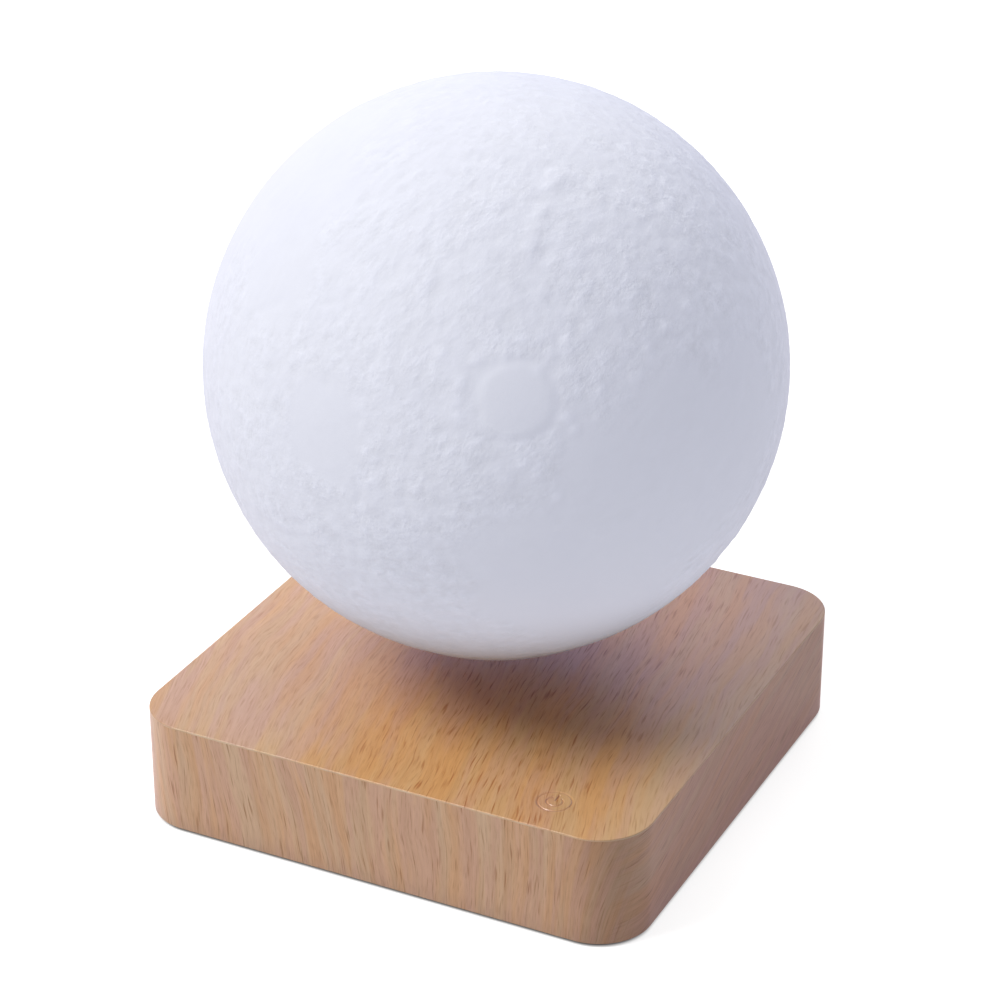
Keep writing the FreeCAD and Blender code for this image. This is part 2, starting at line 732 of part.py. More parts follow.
def capacitor(x, y):
    """An upright can with the groove that crimps it near its foot."""
    groove = BOARD_TOP + CAPACITOR_GROOVE_HEIGHT
    bottom, top = BOARD_TOP, BOARD_TOP + CAPACITOR_HEIGHT
    edges = steps(
        (0, bottom),
        (CAPACITOR_RADIUS, bottom),
        (CAPACITOR_RADIUS, groove - CAPACITOR_GROOVE_DEPTH),
        (CAPACITOR_RADIUS - CAPACITOR_GROOVE_DEPTH, groove),
        (CAPACITOR_RADIUS, groove + CAPACITOR_GROOVE_DEPTH),
        (CAPACITOR_RADIUS, top),
        (0, top),
        (0, bottom),
    )
    return turned(edges, x, y)


def power_inductor():
    """The square coil that smooths the supply."""
    x, y = INDUCTOR_PLACE
    body = block(INDUCTOR_SIZE, x, y, BOARD_TOP)
    return body.makeChamfer(INDUCTOR_CORNER, upright_edges(body))


# ----------------------------------------------------------------- power inlet
def dc_jack():
    """The round-mouthed inlet in the back wall, with its body on the main board."""
    body_length = JACK_LENGTH - JACK_BARREL_LENGTH
    bore_end = JACK_FRONT_Y - JACK_BORE_DEPTH
    body = block((JACK_WIDTH, body_length, JACK_HEIGHT), 0, JACK_BACK_Y + body_length / 2, BOARD_TOP)
    barrel = inlet_bar(JACK_BARREL_RADIUS, JACK_FRONT_Y - JACK_BARREL_LENGTH - OVERLAP, JACK_FRONT_Y)
    bore = inlet_bar(JACK_BORE_RADIUS, bore_end, JACK_FRONT_Y)
    root_hole = inlet_bar(JACK_PIN_ROOT_RADIUS + JACK_PIN_GAP, bore_end - JACK_PIN_ROOT, JACK_FRONT_Y)
    return fuse([body, barrel]).cut(bore).cut(root_hole)


def dc_jack_pin():
    """The inlet's centre contact, on a thinner root that is pressed into the body."""
    bore_end = JACK_FRONT_Y - JACK_BORE_DEPTH
    nose_y = JACK_FRONT_Y - JACK_PIN_RECESS
    pin = inlet_bar(JACK_PIN_RADIUS, bore_end, nose_y)
    nose = [edge for edge in pin.Edges if edge.isClosed() and edge.CenterOfMass.y > nose_y - TINY]
    root = inlet_bar(JACK_PIN_ROOT_RADIUS, bore_end - JACK_PIN_ROOT, bore_end)
    return fuse([pin.makeChamfer(JACK_PIN_NOSE, nose), root])


# ---------------------------------------------------------------- touch sensor
def touch_pad():
    """The copper electrode stuck under the touch mark."""
    return rod(TOUCH_PAD_RADIUS, CEILING - TOUCH_PAD_THICKNESS, CEILING, TOUCH_X, TOUCH_Y)


def touch_board_bottom():
    """The height of the touch board's underside."""
    return CEILING - TOUCH_PAD_THICKNESS - TOUCH_BOARD_SIZE[2]


def touch_board():
    """The small board under the touch electrode, with its chip."""
    bottom = touch_board_bottom()
    board = block(TOUCH_BOARD_SIZE, TOUCH_X, TOUCH_Y, bottom)
    chip = block(TOUCH_CHIP_SIZE, TOUCH_X, TOUCH_Y, bottom - TOUCH_CHIP_SIZE[2])
    return fuse([board, chip])


def touch_lead():
    """The lead from the touch board down to the main board's front edge."""
    x = TOUCH_X - TOUCH_LEAD_SHIFT
    board_y = BOARD_FRONT + LEAD_CLEARANCE + LEAD_RADIUS
    start_z = touch_board_bottom()
    drop = (start_z - BOARD_TOP) / 3
    route = [
        (x, TOUCH_Y, start_z),
        (x, TOUCH_Y, start_z - drop),
        (x, board_y, BOARD_TOP + drop),
        (x, board_y, BOARD_TOP),
    ]
    return bent_tube(route, LEAD_RADIUS)


def transmitter_lead():
    """The lead from the sending coil, over the tray's rim, to the main board."""
    height = TRANSMITTER_TOP - TRANSMITTER_HEIGHT / 2
    down_x = -TRAY_RADIUS - LEAD_CLEARANCE - LEAD_RADIUS
    route = [(-TRANSMITTER_OUTER, 0, height), (down_x, 0, height), (down_x, 0, BOARD_TOP)]
    return bent_tube(route, LEAD_RADIUS)


# ------------------------------------------------------------------------ moon
# Reaches are measured from the vertical axis, from the magnet outwards.
POCKET_RADIUS = FLOAT_MAGNET_RADIUS + POCKET_GAP
RECEIVER_INNER = POCKET_RADIUS + DIVIDER_WALL + RECEIVER_GAP
RECEIVER_OUTER = RECEIVER_INNER + RECEIVER_WIDTH
CUP_INNER = RECEIVER_OUTER + RECEIVER_GAP
CUP_OUTER = CUP_INNER + CUP_WALL
MOUTH_RADIUS = CUP_OUTER + SEAM_GAP
MOUTH_OUTER = MOUTH_RADIUS + MOUTH_REBATE_WIDTH
CUP_RIM_RADIUS = MOUTH_OUTER - SEAM_GAP

# Heights are measured from the moon's centre.
LEDGE_UNDER = ball_height(MOON_RADIUS, MOUTH_OUTER) + MOUTH_REBATE_DEPTH
COLLAR_TOP = LEDGE_UNDER + COLLAR_HEIGHT
CUP_TOP = COLLAR_TOP + CUP_TOP_ABOVE_COLLAR
POCKET_FLOOR = ball_height(MOON_RADIUS, POCKET_RADIUS) + CUP_SEAT_WALL
COIL_SEAT = ball_height(MOON_RADIUS, CUP_INNER) + CUP_SEAT_WALL
FLOAT_MAGNET_BOTTOM = POCKET_FLOOR + FLOAT_GAP
RECEIVER_TOP = COIL_SEAT + RECEIVER_HEIGHT
LED_BOARD_TOP = CUP_TOP - LED_BOARD_RIM_BELOW_CUP
LED_BOARD_BOTTOM = LED_BOARD_TOP - LED_BOARD_THICKNESS
LED_BOARD_RADIUS = CUP_INNER + SHOULDER_WIDTH - SEAM_GAP


def moon_shell():
    """The printed ball, with a rebated mouth below and a collar round it inside."""
    inner = MOON_RADIUS - MOON_WALL
    mouth = (MOUTH_OUTER, ball_height(MOON_RADIUS, MOUTH_OUTER))
    ledge_top = LEDGE_UNDER + MOUTH_LEDGE
    collar_outer = MOUTH_RADIUS + COLLAR_WALL
    shoulder = (ball_reach(inner, ledge_top), ledge_top)
    edges = steps(
        mouth,
        (MOUTH_OUTER, LEDGE_UNDER),
        (MOUTH_RADIUS, LEDGE_UNDER),
        (MOUTH_RADIUS, COLLAR_TOP),
        (collar_outer, COLLAR_TOP),
        (collar_outer, ledge_top),
        shoulder,
    )
    edges.append(ball_arc(inner, shoulder, (0, inner)))
    edges += steps((0, inner), (0, MOON_RADIUS))
    edges.append(ball_arc(MOON_RADIUS, (0, MOON_RADIUS), mouth))
    return turned(edges, z=MOON_Z)


def float_cup():
    """The cap that closes the moon's mouth and holds the magnet and the coil.

    Its outside carries on the ball's curve. Inside it has a ring and a post that
    the magnet sits on, a wall round the magnet, a seat for the coil outside that
    wall, and a shoulder near the top for the board.
    """
    rim = (CUP_RIM_RADIUS, ball_height(MOON_RADIUS, CUP_RIM_RADIUS))
    rim_top = LEDGE_UNDER - SEAM_GAP
    divider_outer = POCKET_RADIUS + DIVIDER_WALL
    divider_top = COIL_SEAT + DIVIDER_HEIGHT
    floor_ball = MOON_RADIUS - CUP_WALL
    ring_inner = POCKET_RADIUS - POCKET_RING_WIDTH
    ring_foot = (ring_inner, ball_height(floor_ball, ring_inner))
    post_foot = (POCKET_POST_RADIUS, ball_height(floor_ball, POCKET_POST_RADIUS))
    shoulder_reach = CUP_INNER + SHOULDER_WIDTH
    edges = [ball_arc(MOON_RADIUS, (0, -MOON_RADIUS), rim)]
    edges += steps(
        rim,
        (CUP_RIM_RADIUS, rim_top),
        (CUP_OUTER, rim_top),
        (CUP_OUTER, CUP_TOP),
        (shoulder_reach, CUP_TOP),
        (shoulder_reach, LED_BOARD_BOTTOM),
        (CUP_INNER, LED_BOARD_BOTTOM),
        (CUP_INNER, COIL_SEAT),
        (divider_outer, COIL_SEAT),
        (divider_outer, divider_top),
        (POCKET_RADIUS, divider_top),
        (POCKET_RADIUS, POCKET_FLOOR),
        (ring_inner, POCKET_FLOOR),
        ring_foot,
    )
    edges.append(ball_arc(floor_ball, ring_foot, post_foot))
    edges += steps(post_foot, (POCKET_POST_RADIUS, POCKET_FLOOR), (0, POCKET_FLOOR), (0, -MOON_RADIUS))
    return turned(edges, z=MOON_Z)


def float_magnet():
    """The disc magnet that the base's field holds up."""
    bottom = MOON_Z + FLOAT_MAGNET_BOTTOM
    return bevelled_rod(FLOAT_MAGNET_RADIUS, bottom, bottom + FLOAT_MAGNET_HEIGHT, MAGNET_EDGE_BEVEL)


def receiver_coil():
    """The coil round the magnet that takes up the power."""
    bottom = MOON_Z + COIL_SEAT
    return bevelled_ring(
        RECEIVER_INNER, RECEIVER_OUTER, bottom, MOON_Z + RECEIVER_TOP, COIL_EDGE_BEVEL
    )


def receiver_ferrite():
    """The ring that shields the board from the coil, open where the leads pass."""
    bottom = MOON_Z + RECEIVER_TOP
    top = bottom + FERRITE_THICKNESS
    sheet = ring(RECEIVER_INNER, RECEIVER_OUTER, bottom, top)
    opening_width = RECEIVER_LEAD_SPACING + 4 * RECEIVER_LEAD_RADIUS
    opening = block((2 * CUP_INNER, opening_width, FERRITE_THICKNESS), CUP_INNER, 0, bottom)
    return sheet.cut(opening)


def receiver_leads():
    """The two leads from the receiving coil up to the board."""
    reach = (RECEIVER_INNER + RECEIVER_OUTER) / 2
    bottom, top = MOON_Z + RECEIVER_TOP, MOON_Z + LED_BOARD_BOTTOM
    leads = []
    for sign in (-1, 1):
        leads.append(rod(RECEIVER_LEAD_RADIUS, bottom, top, reach, sign * RECEIVER_LEAD_SPACING / 2))
    return Part.makeCompound(leads)


def led_board():
    """The round board that lies on the cup's shoulder."""
    return rod(LED_BOARD_RADIUS, MOON_Z + LED_BOARD_BOTTOM, MOON_Z + LED_BOARD_TOP)


def leds():
    """Two rings of light-emitting diodes that face up into the ball."""
    lights = []
    for radius, count in LED_RINGS:
        for _, _, angle in on_circle(radius, count):
            light = block(LED_SIZE, radius, 0, MOON_Z + LED_BOARD_TOP)
            light.rotate(at(0, 0), Z_AXIS, angle)
            lights.append(light)
    return Part.makeCompound(lights)


def rectifier_parts():
    """The parts under the board that turn the coil's current into a steady one."""
    parts = []
    places = on_circle(RECTIFIER_CIRCLE_RADIUS, len(RECTIFIER_SIZES))
    for size, (x, y, _) in zip(RECTIFIER_SIZES, places):
        parts.append(block(size, x, y, MOON_Z + LED_BOARD_BOTTOM - size[2]))
    return Part.makeCompound(parts)


def grouped(make, places):
    """Several like pieces as one group of separate solids."""
    return Part.makeCompound([make(x, y) for x, y in places])


def main():
    """Builds every sub-part and writes each to its own file."""
    sub_parts = {
        "housing_core": housing_core(),
        "side_veneer": side_veneer(),
        "top_veneer": top_veneer(),
        "bottom_cover": bottom_cover(),
        "rubber_feet": rubber_feet(),
        "cover_screws": cover_screws(),
        "module_tray": module_tray(),
        "tray_screws": tray_screws(),
        "ring_magnet": ring_magnet(),
        "coil_bobbins": grouped(bobbin, coil_places()),
        "coil_windings": grouped(winding, coil_places()),
        "coil_cores": grouped(coil_core, coil_places()),
        "hall_board": hall_board(),
        "hall_sensors": hall_sensors(),
        "transmitter_ferrite": transmitter_ferrite(),
        "transmitter_coil": transmitter_coil(),
        "transmitter_lead": transmitter_lead(),
        "control_board": control_board(),
        "board_screws": board_screws(),
        "control_chips": control_chips(),
        "capacitors": grouped(capacitor, CAPACITOR_PLACES),
        "power_inductor": power_inductor(),
        "dc_jack": dc_jack(),
        "dc_jack_pin": dc_jack_pin(),
        "touch_pad": touch_pad(),
        "touch_board": touch_board(),
        "touch_lead": touch_lead(),
        "float_magnet": float_magnet(),
        "moon_shell": moon_shell(),
        "float_cup": float_cup(),
        "receiver_coil": receiver_coil(),
        "receiver_ferrite": receiver_ferrite(),
        "receiver_leads": receiver_leads(),
        "led_board": led_board(),
        "leds": leds(),
        "rectifier_parts": rectifier_parts(),
    }
    os.makedirs("parts", exist_ok=True)
    for name, shape in sub_parts.items():
        shape.exportStep(f"parts/{name}.step")
        print(f"{name}: {len(shape.Solids)} solids, {shape.Volume:.0f} mm3, valid {shape.isValid()}")


main()
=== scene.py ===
"""Looks of a levitating moon lamp: a printed ball that hovers over a square wooden base.

Lengths are in metres in the shared frame: +Z up, -Y the front, where the touch
mark is, and the origin in the middle of the plane that the feet stand on.
"""

import json
import logging
import math
from dataclasses import dataclass, field
from enum import Enum

import bpy
import numpy as np
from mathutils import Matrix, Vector


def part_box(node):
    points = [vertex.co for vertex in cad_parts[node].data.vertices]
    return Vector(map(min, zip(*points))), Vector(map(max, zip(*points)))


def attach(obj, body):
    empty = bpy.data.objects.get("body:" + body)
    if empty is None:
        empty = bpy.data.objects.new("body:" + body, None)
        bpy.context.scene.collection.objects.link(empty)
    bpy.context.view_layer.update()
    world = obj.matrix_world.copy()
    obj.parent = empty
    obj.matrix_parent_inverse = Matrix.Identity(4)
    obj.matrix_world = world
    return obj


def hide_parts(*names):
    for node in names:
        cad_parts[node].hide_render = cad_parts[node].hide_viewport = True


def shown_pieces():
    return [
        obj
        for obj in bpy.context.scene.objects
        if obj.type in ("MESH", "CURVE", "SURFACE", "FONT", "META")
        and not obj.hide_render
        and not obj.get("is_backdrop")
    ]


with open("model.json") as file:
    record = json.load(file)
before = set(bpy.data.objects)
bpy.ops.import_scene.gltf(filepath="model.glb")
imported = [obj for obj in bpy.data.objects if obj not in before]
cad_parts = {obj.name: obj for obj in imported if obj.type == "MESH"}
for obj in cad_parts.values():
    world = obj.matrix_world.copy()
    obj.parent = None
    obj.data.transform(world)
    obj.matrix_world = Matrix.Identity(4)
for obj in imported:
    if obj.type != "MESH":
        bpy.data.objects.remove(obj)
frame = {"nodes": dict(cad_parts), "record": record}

LOG = logging.getLogger("moon_lamp")
MM = 0.001

COLOUR_INPUTS = ("Base Color", "Emission Color")

Colour = tuple[float, float, float]
Triple = tuple[float, float, float]
Array = np.ndarray
Socket = bpy.types.NodeSocket

BLACK = (0.0, 0.0, 0.0)
WHITE = (1.0, 1.0, 1.0)


# ----------------------------------------------------------------------------------
# Materials
# ----------------------------------------------------------------------------------
class NodeGraph:
    """The nodes of a material or a world, added by short calls that hand back their output sockets."""

    def __init__(self, owner: bpy.types.ID, output: str = "ShaderNodeOutputMaterial") -> None:
        """Starts with nothing but the output.

        Args:
            owner: the material or the world.
            output: Blender's name for its output node.
        """
        owner.use_nodes = True
        self.owner = owner
        self.tree = owner.node_tree
        self.tree.nodes.clear()
        self.output = self.tree.nodes.new(output)

    def add(self, kind: str, inputs: dict, **settings: object) -> bpy.types.Node:
        """Adds one node.

        Args:
            kind: Blender's name for the node.
            inputs: a value or a socket for each input, by name or number.
            settings: the node's own settings.

        Returns:
            The node.
        """
        node = self.tree.nodes.new(kind)
        for key, value in settings.items():
            setattr(node, key, value)
        for key, value in inputs.items():
            if isinstance(value, bpy.types.NodeSocket):
                self.tree.links.new(value, node.inputs[key])
            else:
                node.inputs[key].default_value = value
        return node

    def place(self) -> Socket:
        """The point on the piece in millimetres."""
        point = self.add("ShaderNodeTexCoord", {}).outputs["Object"]
        return self.press(point, (1.0 / MM, 1.0 / MM, 1.0 / MM))

    def unrolled(self, name: str) -> Socket:
        """The point on a strip that is laid flat, in millimetres, from the piece's own map.

        Args:
            name: the map's name.

        Returns:
            The point as a vector.
        """
        point = self.add("ShaderNodeUVMap", {}, uv_map=name).outputs[0]
        return self.press(point, (1.0 / MM, 1.0 / MM, 1.0))

    def press(self, vector: Socket, scale: Triple, shift: Triple = (0.0, 0.0, 0.0)) -> Socket:
        """A point scaled and moved along each axis.

        Args:
            vector: the point.
            scale: the factor along each axis.
            shift: what is added after that.

        Returns:
            The new point.
        """
        return self.add("ShaderNodeMapping", {"Vector": vector, "Scale": scale, "Location": shift}).outputs[0]

    def noise(
        self, vector: Socket, scale: float, detail: float = 2.0, roughness: float = 0.5, flat: bool = False
    ) -> Socket:
        """Soft noise from 0 to 1.

        Args:
            vector: where it is read.
            scale: waves for each unit of length.
            detail: the number of finer layers.
            roughness: how strong each finer layer is.
            flat: whether only the first two coordinates count.

        Returns:
            The value.
        """
        inputs = {"Vector": vector, "Scale": scale, "Detail": detail, "Roughness": roughness}
        dimensions = "2D" if flat else "3D"
        return self.add("ShaderNodeTexNoise", inputs, noise_dimensions=dimensions).outputs["Fac"]

    def cells(self, vector: Socket, scale: float = 1.0, flat: bool = False) -> tuple[Socket, Socket]:
        """Scattered points.

        Args:
            vector: where they are read.
            scale: points for each unit of length.
            flat: whether only the first two coordinates count.

        Returns:
            The distance to the nearest point, and that point's own random colour.
        """
        dimensions = "2D" if flat else "3D"
        node = self.add("ShaderNodeTexVoronoi", {"Vector": vector, "Scale": scale}, voronoi_dimensions=dimensions)
        return node.outputs["Distance"], node.outputs["Color"]

    def sum(
        self, operation: str, first: object, second: object = 0.0, third: object = 0.0, clamp: bool = False
    ) -> Socket:
        """One step of arithmetic.

        Args:
            operation: Blender's name for the step.
            first: a number or a socket.
            second: a number or a socket.
            third: a number or a socket, for the steps that take three.
            clamp: whether the result is kept from 0 to 1.

        Returns:
            The result.
        """
        inputs = {0: first, 1: second, 2: third}
        return self.add("ShaderNodeMath", inputs, operation=operation, use_clamp=clamp).outputs[0]

    def vector(self, operation: str, first: object, second: object = (0.0, 0.0, 0.0)) -> Socket:
        """One step of arithmetic on points.

        Args:
            operation: Blender's name for the step.
            first: a point or a socket.
            second: a point or a socket.

        Returns:
            The result as a vector.
        """
        return self.add("ShaderNodeVectorMath", {0: first, 1: second}, operation=operation).outputs[0]

    def parts(self, vector: Socket) -> tuple[Socket, Socket, Socket]:
        """The three numbers of a vector."""
        return tuple(self.add("ShaderNodeSeparateXYZ", {0: vector}).outputs)

    def point(self, first: object, second: object) -> Socket:
        """A point in a plane from its two numbers."""
        return self.add("ShaderNodeCombineXYZ", {0: first, 1: second}).outputs[0]

    def span(self, value: Socket, low: float, high: float, start: float = 0.0, end: float = 1.0) -> Socket:
        """A smooth step between two levels of a value.

        Args:
            value: the value.
            low: the level where the step starts.
            high: the level where it ends.
            start: the result below the step.
            end: the result above it.

        Returns:
            The result.
        """
        inputs = {"Value": value, "From Min": low, "From Max": high, "To Min": start, "To Max": end}
        return self.add("ShaderNodeMapRange", inputs, interpolation_type="SMOOTHSTEP").outputs["Result"]

    def mix(self, factor: object, first: object, second: object, mode: str = "MIX") -> Socket:
        """Two colours laid over each other.

        Args:
            factor: how much of the second colour there is.
            first: a colour or a socket.
            second: a colour or a socket.
            mode: Blender's name for the way of mixing.

        Returns:
            The colour.
        """
        first = (*first, 1.0) if isinstance(first, tuple) else first
        second = (*second, 1.0) if isinstance(second, tuple) else second
        inputs = {0: factor, 6: first, 7: second}
        return self.add("ShaderNodeMix", inputs, data_type="RGBA", blend_type=mode).outputs[2]

    def attribute(self, name: str) -> Socket:
        """A number that the mesh carries at its vertices."""
        return self.add("ShaderNodeAttribute", {}, attribute_name=name).outputs["Fac"]

    def bump(self, height: Socket, depth: float, normal: Socket | None = None) -> Socket:
        """The tilt that a fine relief gives to the surface.

        Args:
            height: the relief, from 0 to 1.
            depth: what a height of 1 stands for, in millimetres.
            normal: a coarser relief's tilt to add it to.

        Returns:
            The tilted normal.
        """
        inputs = {"Height": height, "Distance": depth * MM, "Strength": 1.0}
        if normal is not None:
            inputs["Normal"] = normal
        return self.add("ShaderNodeBump", inputs).outputs["Normal"]

    def close(self, shader: bpy.types.Node) -> None:
        """Joins the last shader to the output."""
        self.tree.links.new(shader.outputs[0], self.output.inputs[0])

    def finish(self, **inputs: object) -> None:
        """Closes a material with one surface shader.

        Args:
            inputs: the shader's inputs, with an underscore for each space.
        """
        named = {key.replace("_", " "): value for key, value in inputs.items()}
        for key, value in named.items():
            if isinstance(value, tuple) and key in COLOUR_INPUTS:
                named[key] = (*value, 1.0)
        self.close(self.add("ShaderNodeBsdfPrincipled", named))


@dataclass(frozen=True)
class Finish:
    """One material: its name, and the surface that each kind of finish dresses it with."""

    name: str

    def dress(self, graph: NodeGraph, point: Socket) -> None:
        """Adds the surface's nodes.

        Args:
            graph: the material's nodes.
            point: the point on the piece, in millimetres.
        """
        raise NotImplementedError

    def material(self) -> bpy.types.Material:
        """Makes the material.

        Returns:
            The material.
        """
        graph = NodeGraph(bpy.data.materials.new(self.name))
        self.dress(graph, graph.place())
        return graph.owner


class Grain(Enum):
    """Which way a veneer's fibres run."""

    FRONT_TO_BACK = "along y, over the top"
    UPRIGHT = "up the strip that is wrapped round the sides"


@dataclass(frozen=True)
class Flecks:
    """One size of pore: dark tapered dashes along the fibres, this far apart across and along, in millimetres."""

    apart: float
    along: float
    level: float
    strength: float
    softness: float = 0.24


@dataclass(frozen=True)
class WoodFinish(Finish):
    """Pale oiled veneer with soft streaks, fine fibres and short dark pores along the grain.

    `quarter` is a quarter of the way round the sides, and `half_face` half of the
    straight part of a side, both in millimetres. Where there is an `edge` colour, it
    shows below `edge_height` as a painted highlight along the top's edge.
    """

    grain: Grain
    pale: Colour
    warm: Colour
    rosy: Colour
    # dull is the colour multiplied in as painted sheen on the top's left, and as painted shade on the top's right
    # and on the side faces.
    dull: Colour
    deep: Colour
    flecks: tuple[Flecks, ...]
    streak_width: float
    streak: float
    fibre: float
    edge: Colour | None = None
    edge_height: float = 0.0
    # How much darker the engraving is: the char of the laser, and painted shade in the groove.
    engraved: float = 0.42
    quarter: float = 135.8
    half_face: float = 56.5

    def over_the_top(self, graph: NodeGraph, place: Socket) -> tuple[Socket, Socket, Socket, Socket]:
        """Lays the grain over the top: from the front edge to the back, turned a little and slightly curved.

        The distance across the grain is x + y * (0.16 - 0.0008 * y).

        Args:
            graph: the material's nodes.
            place: the point on the piece, in millimetres.

        Returns:
            The point across and along the grain, how coarse its pores are, how much
            painted sheen and shade it has and how strong the whole figure is.
        """
        x, y, _ = graph.parts(place)
        turned = graph.sum("MULTIPLY", y, graph.sum("MULTIPLY_ADD", y, -0.0008, 0.16))
        across = graph.sum("ADD", x, turned)
        coarse = graph.span(across, -48.0, 8.0, 0.3, 1.0)
        calm = graph.span(across, 26.0, 62.0, 1.0, 0.55)
        # Painted sheen towards the top's left edge, and painted shade towards its right, where the moon's shadow
        # falls.
        dull = graph.sum("ADD", graph.span(across, -54.0, -8.0, 1.0, 0.0), graph.span(across, 42.0, 66.0, 0.0, 0.9))
        return graph.point(across, y), coarse, dull, calm

    def up_the_front(self, graph: NodeGraph, run: Socket, height: Socket) -> tuple[Socket, Socket, Socket]:
        """Lays the grain up the front and the back: leaning left at one end and right at the other.

        Args:
            graph: the material's nodes.
            run: the distance round the sides from the front's middle.
            height: the height.

        Returns:
            The point across and along the grain, how coarse its pores are, and how much painted shade it has.
        """
        across = graph.sum("WRAP", run, self.quarter, -self.quarter)
        face = graph.sum("FLOOR", graph.sum("MULTIPLY_ADD", run, 0.5 / self.quarter, 0.5))
        left = graph.span(across, -25.0, 10.0, 0.16, 0.0)
        lean = graph.sum("SUBTRACT", left, graph.span(across, 48.0, 70.0, 0.0, 0.45))
        drop = graph.sum("SUBTRACT", height, 31.5)
        upright = graph.sum("MULTIPLY_ADD", face, 90.0, height)
        # Painted shade: the front darkens towards its right end, which turns away from the key lamp.
        dull = graph.span(across, 48.0, 62.0)
        return graph.point(graph.sum("MULTIPLY_ADD", lean, drop, across), upright), graph.span(dull, -1.0, 0.0), dull

    def figure(
        self, graph: NodeGraph, point: Socket, coarse: object, dull: object, calm: object = 1.0
    ) -> tuple[Socket, Socket]:
        """The wood's own look: clouds and ribbons of colour, darker streaks and fibres, and pores.

        Long noise bends the fibres. Noise drawn out along the grain gives the rest, and
        the pores are where such noise is above a level.

        Args:
            graph: the material's nodes.
            point: across and along the grain, in millimetres.
            coarse: how strong the large pores are.
            dull: how much of the painted sheen and shade tone there is.
            calm: how strong the whole figure is.

        Returns:
            The colour, and how dark each place is.
        """
        sway = graph.noise(graph.press(point, (1.0, 0.5, 1.0)), 0.02, 2.0, 0.45, flat=True)
        jitter = graph.noise(graph.press(point, (0.22, 0.08, 1.0)), 1.0, 2.0, 0.4, flat=True)
        aside = graph.sum("MULTIPLY_ADD", sway, 14.0, graph.sum("MULTIPLY", jitter, 0.9))
        bent = graph.vector("ADD", point, graph.point(aside, 0.0))
        width = 1.0 / self.streak_width
        ribbons = graph.press(bent, (0.45 * width, 0.024, 1.0), (3.0, 51.0, 0.0))
        streaks = graph.press(bent, (width, 0.018, 1.0), (31.0, 7.0, 0.0))
        fibres = graph.press(bent, (1.7, 0.09, 1.0), (5.0, 13.0, 0.0))
        cloud = graph.noise(graph.press(bent, (0.11, 0.008, 1.0)), 1.0, 3.0, 0.6, flat=True)
        ribbon = graph.noise(ribbons, 1.0, 2.0, 0.5, flat=True)
        streak = graph.span(graph.noise(streaks, 1.0, 3.0, 0.6, flat=True), 0.3, 0.7, 0.0, self.streak)
        fibre = graph.span(graph.noise(fibres, 1.0, 3.0, 0.65, flat=True), 0.3, 0.7, 0.0, self.fibre)
        colour = graph.mix(graph.span(cloud, 0.36, 0.64), self.pale, self.warm)
        colour = graph.mix(graph.span(ribbon, 0.40, 0.70, 0.0, 0.9), colour, self.rosy)
        # Painted sheen and shade: the dull colour multiplied in.
        colour = graph.mix(dull, colour, graph.mix(1.0, colour, self.dull, "MULTIPLY"))
        dark = None
        for index, size in enumerate(self.flecks):
            drawn = graph.press(bent, (1.0 / size.apart, 1.0 / size.along, 1.0), (17.3 * index, 9.1 * index, 0.0))
            layer = graph.noise(drawn, 1.0, 1.0, 0.30, flat=True)
            layer = graph.span(layer, size.level, size.level + size.softness, 0.0, size.strength)
            if index == 0:
                layer = graph.sum("MULTIPLY", layer, coarse)
            dark = layer if dark is None else graph.sum("MAXIMUM", dark, layer)
        shade = graph.sum("ADD", graph.sum("ADD", streak, fibre), dark)
        total = graph.sum("MULTIPLY", shade, calm, clamp=True)
        return graph.mix(total, colour, graph.mix(1.0, colour, self.deep, "MULTIPLY")), total

    def dress(self, graph: NodeGraph, point: Socket) -> None:
        """Adds the surface's nodes.

        Over the top there is one figure. Round the sides, the upright one of the front
        gives way at the corners to a calm one that runs along the edge.

        Args:
            graph: the material's nodes.
            point: the point on the piece, in millimetres.
        """
        if self.grain is Grain.FRONT_TO_BACK:
            colour, dark = self.figure(graph, *self.over_the_top(graph, point))
        else:
            round_about, height, _ = graph.parts(graph.unrolled("strip"))
            run = graph.sum("SUBTRACT", round_about, self.half_face)
            aside = graph.sum("WRAP", graph.sum("SUBTRACT", run, self.quarter), self.quarter, -self.quarter)
            rising = graph.sum("MULTIPLY_ADD", aside, -0.3, height)
            first, first_dark = self.figure(graph, *self.up_the_front(graph, run, height))
            # The side faces take the full painted shade.
            second, second_dark = self.figure(graph, graph.point(rising, aside), 1.0, 1.0)
            wander = graph.noise(point, 0.05, 2.0, 0.5)
            from_side = graph.sum("MULTIPLY_ADD", wander, 10.0, graph.sum("ABSOLUTE", aside))
            turn = graph.span(from_side, 65.0, 79.0)
            colour = graph.mix(turn, second, first)
            dark = graph.sum("MULTIPLY_ADD", turn, graph.sum("SUBTRACT", first_dark, second_dark), second_dark)
        # The engraving is darker: partly the char of the laser, partly painted shade in the groove.
        engraving = graph.attribute("engraving")
        darker = graph.mix(1.0, colour, self.deep, "MULTIPLY")
        colour = graph.mix(graph.sum("MULTIPLY", engraving, self.engraved), colour, darker)
        # Painted highlight: a thin pale line just under the top's edge, uneven in strength along it and kept out of
        # the engraving.
        if self.edge is not None:
            _, _, height = graph.parts(point)
            below = graph.span(height, self.edge_height / MM - 0.24, self.edge_height / MM - 0.12, 1.0, 0.0)
            wear_and_highlight = graph.span(graph.noise(point, 0.09, 3.0, 0.6), 0.35, 0.65, 0.35, 0.95)
            edge_highlight = graph.sum("MULTIPLY", graph.sum("MULTIPLY", below, wear_and_highlight), graph.sum("SUBTRACT", 1.0, engraving))
            colour = graph.mix(edge_highlight, colour, self.edge)
        graph.finish(
            Base_Color=colour,
            Roughness=graph.span(dark, 0.0, 0.5, 0.46, 0.56),
            Specular_IOR_Level=0.5,
            Coat_Weight=1.0,
            Coat_Roughness=0.28,
            Normal=graph.bump(graph.sum("SUBTRACT", 1.0, dark), 0.03),
        )


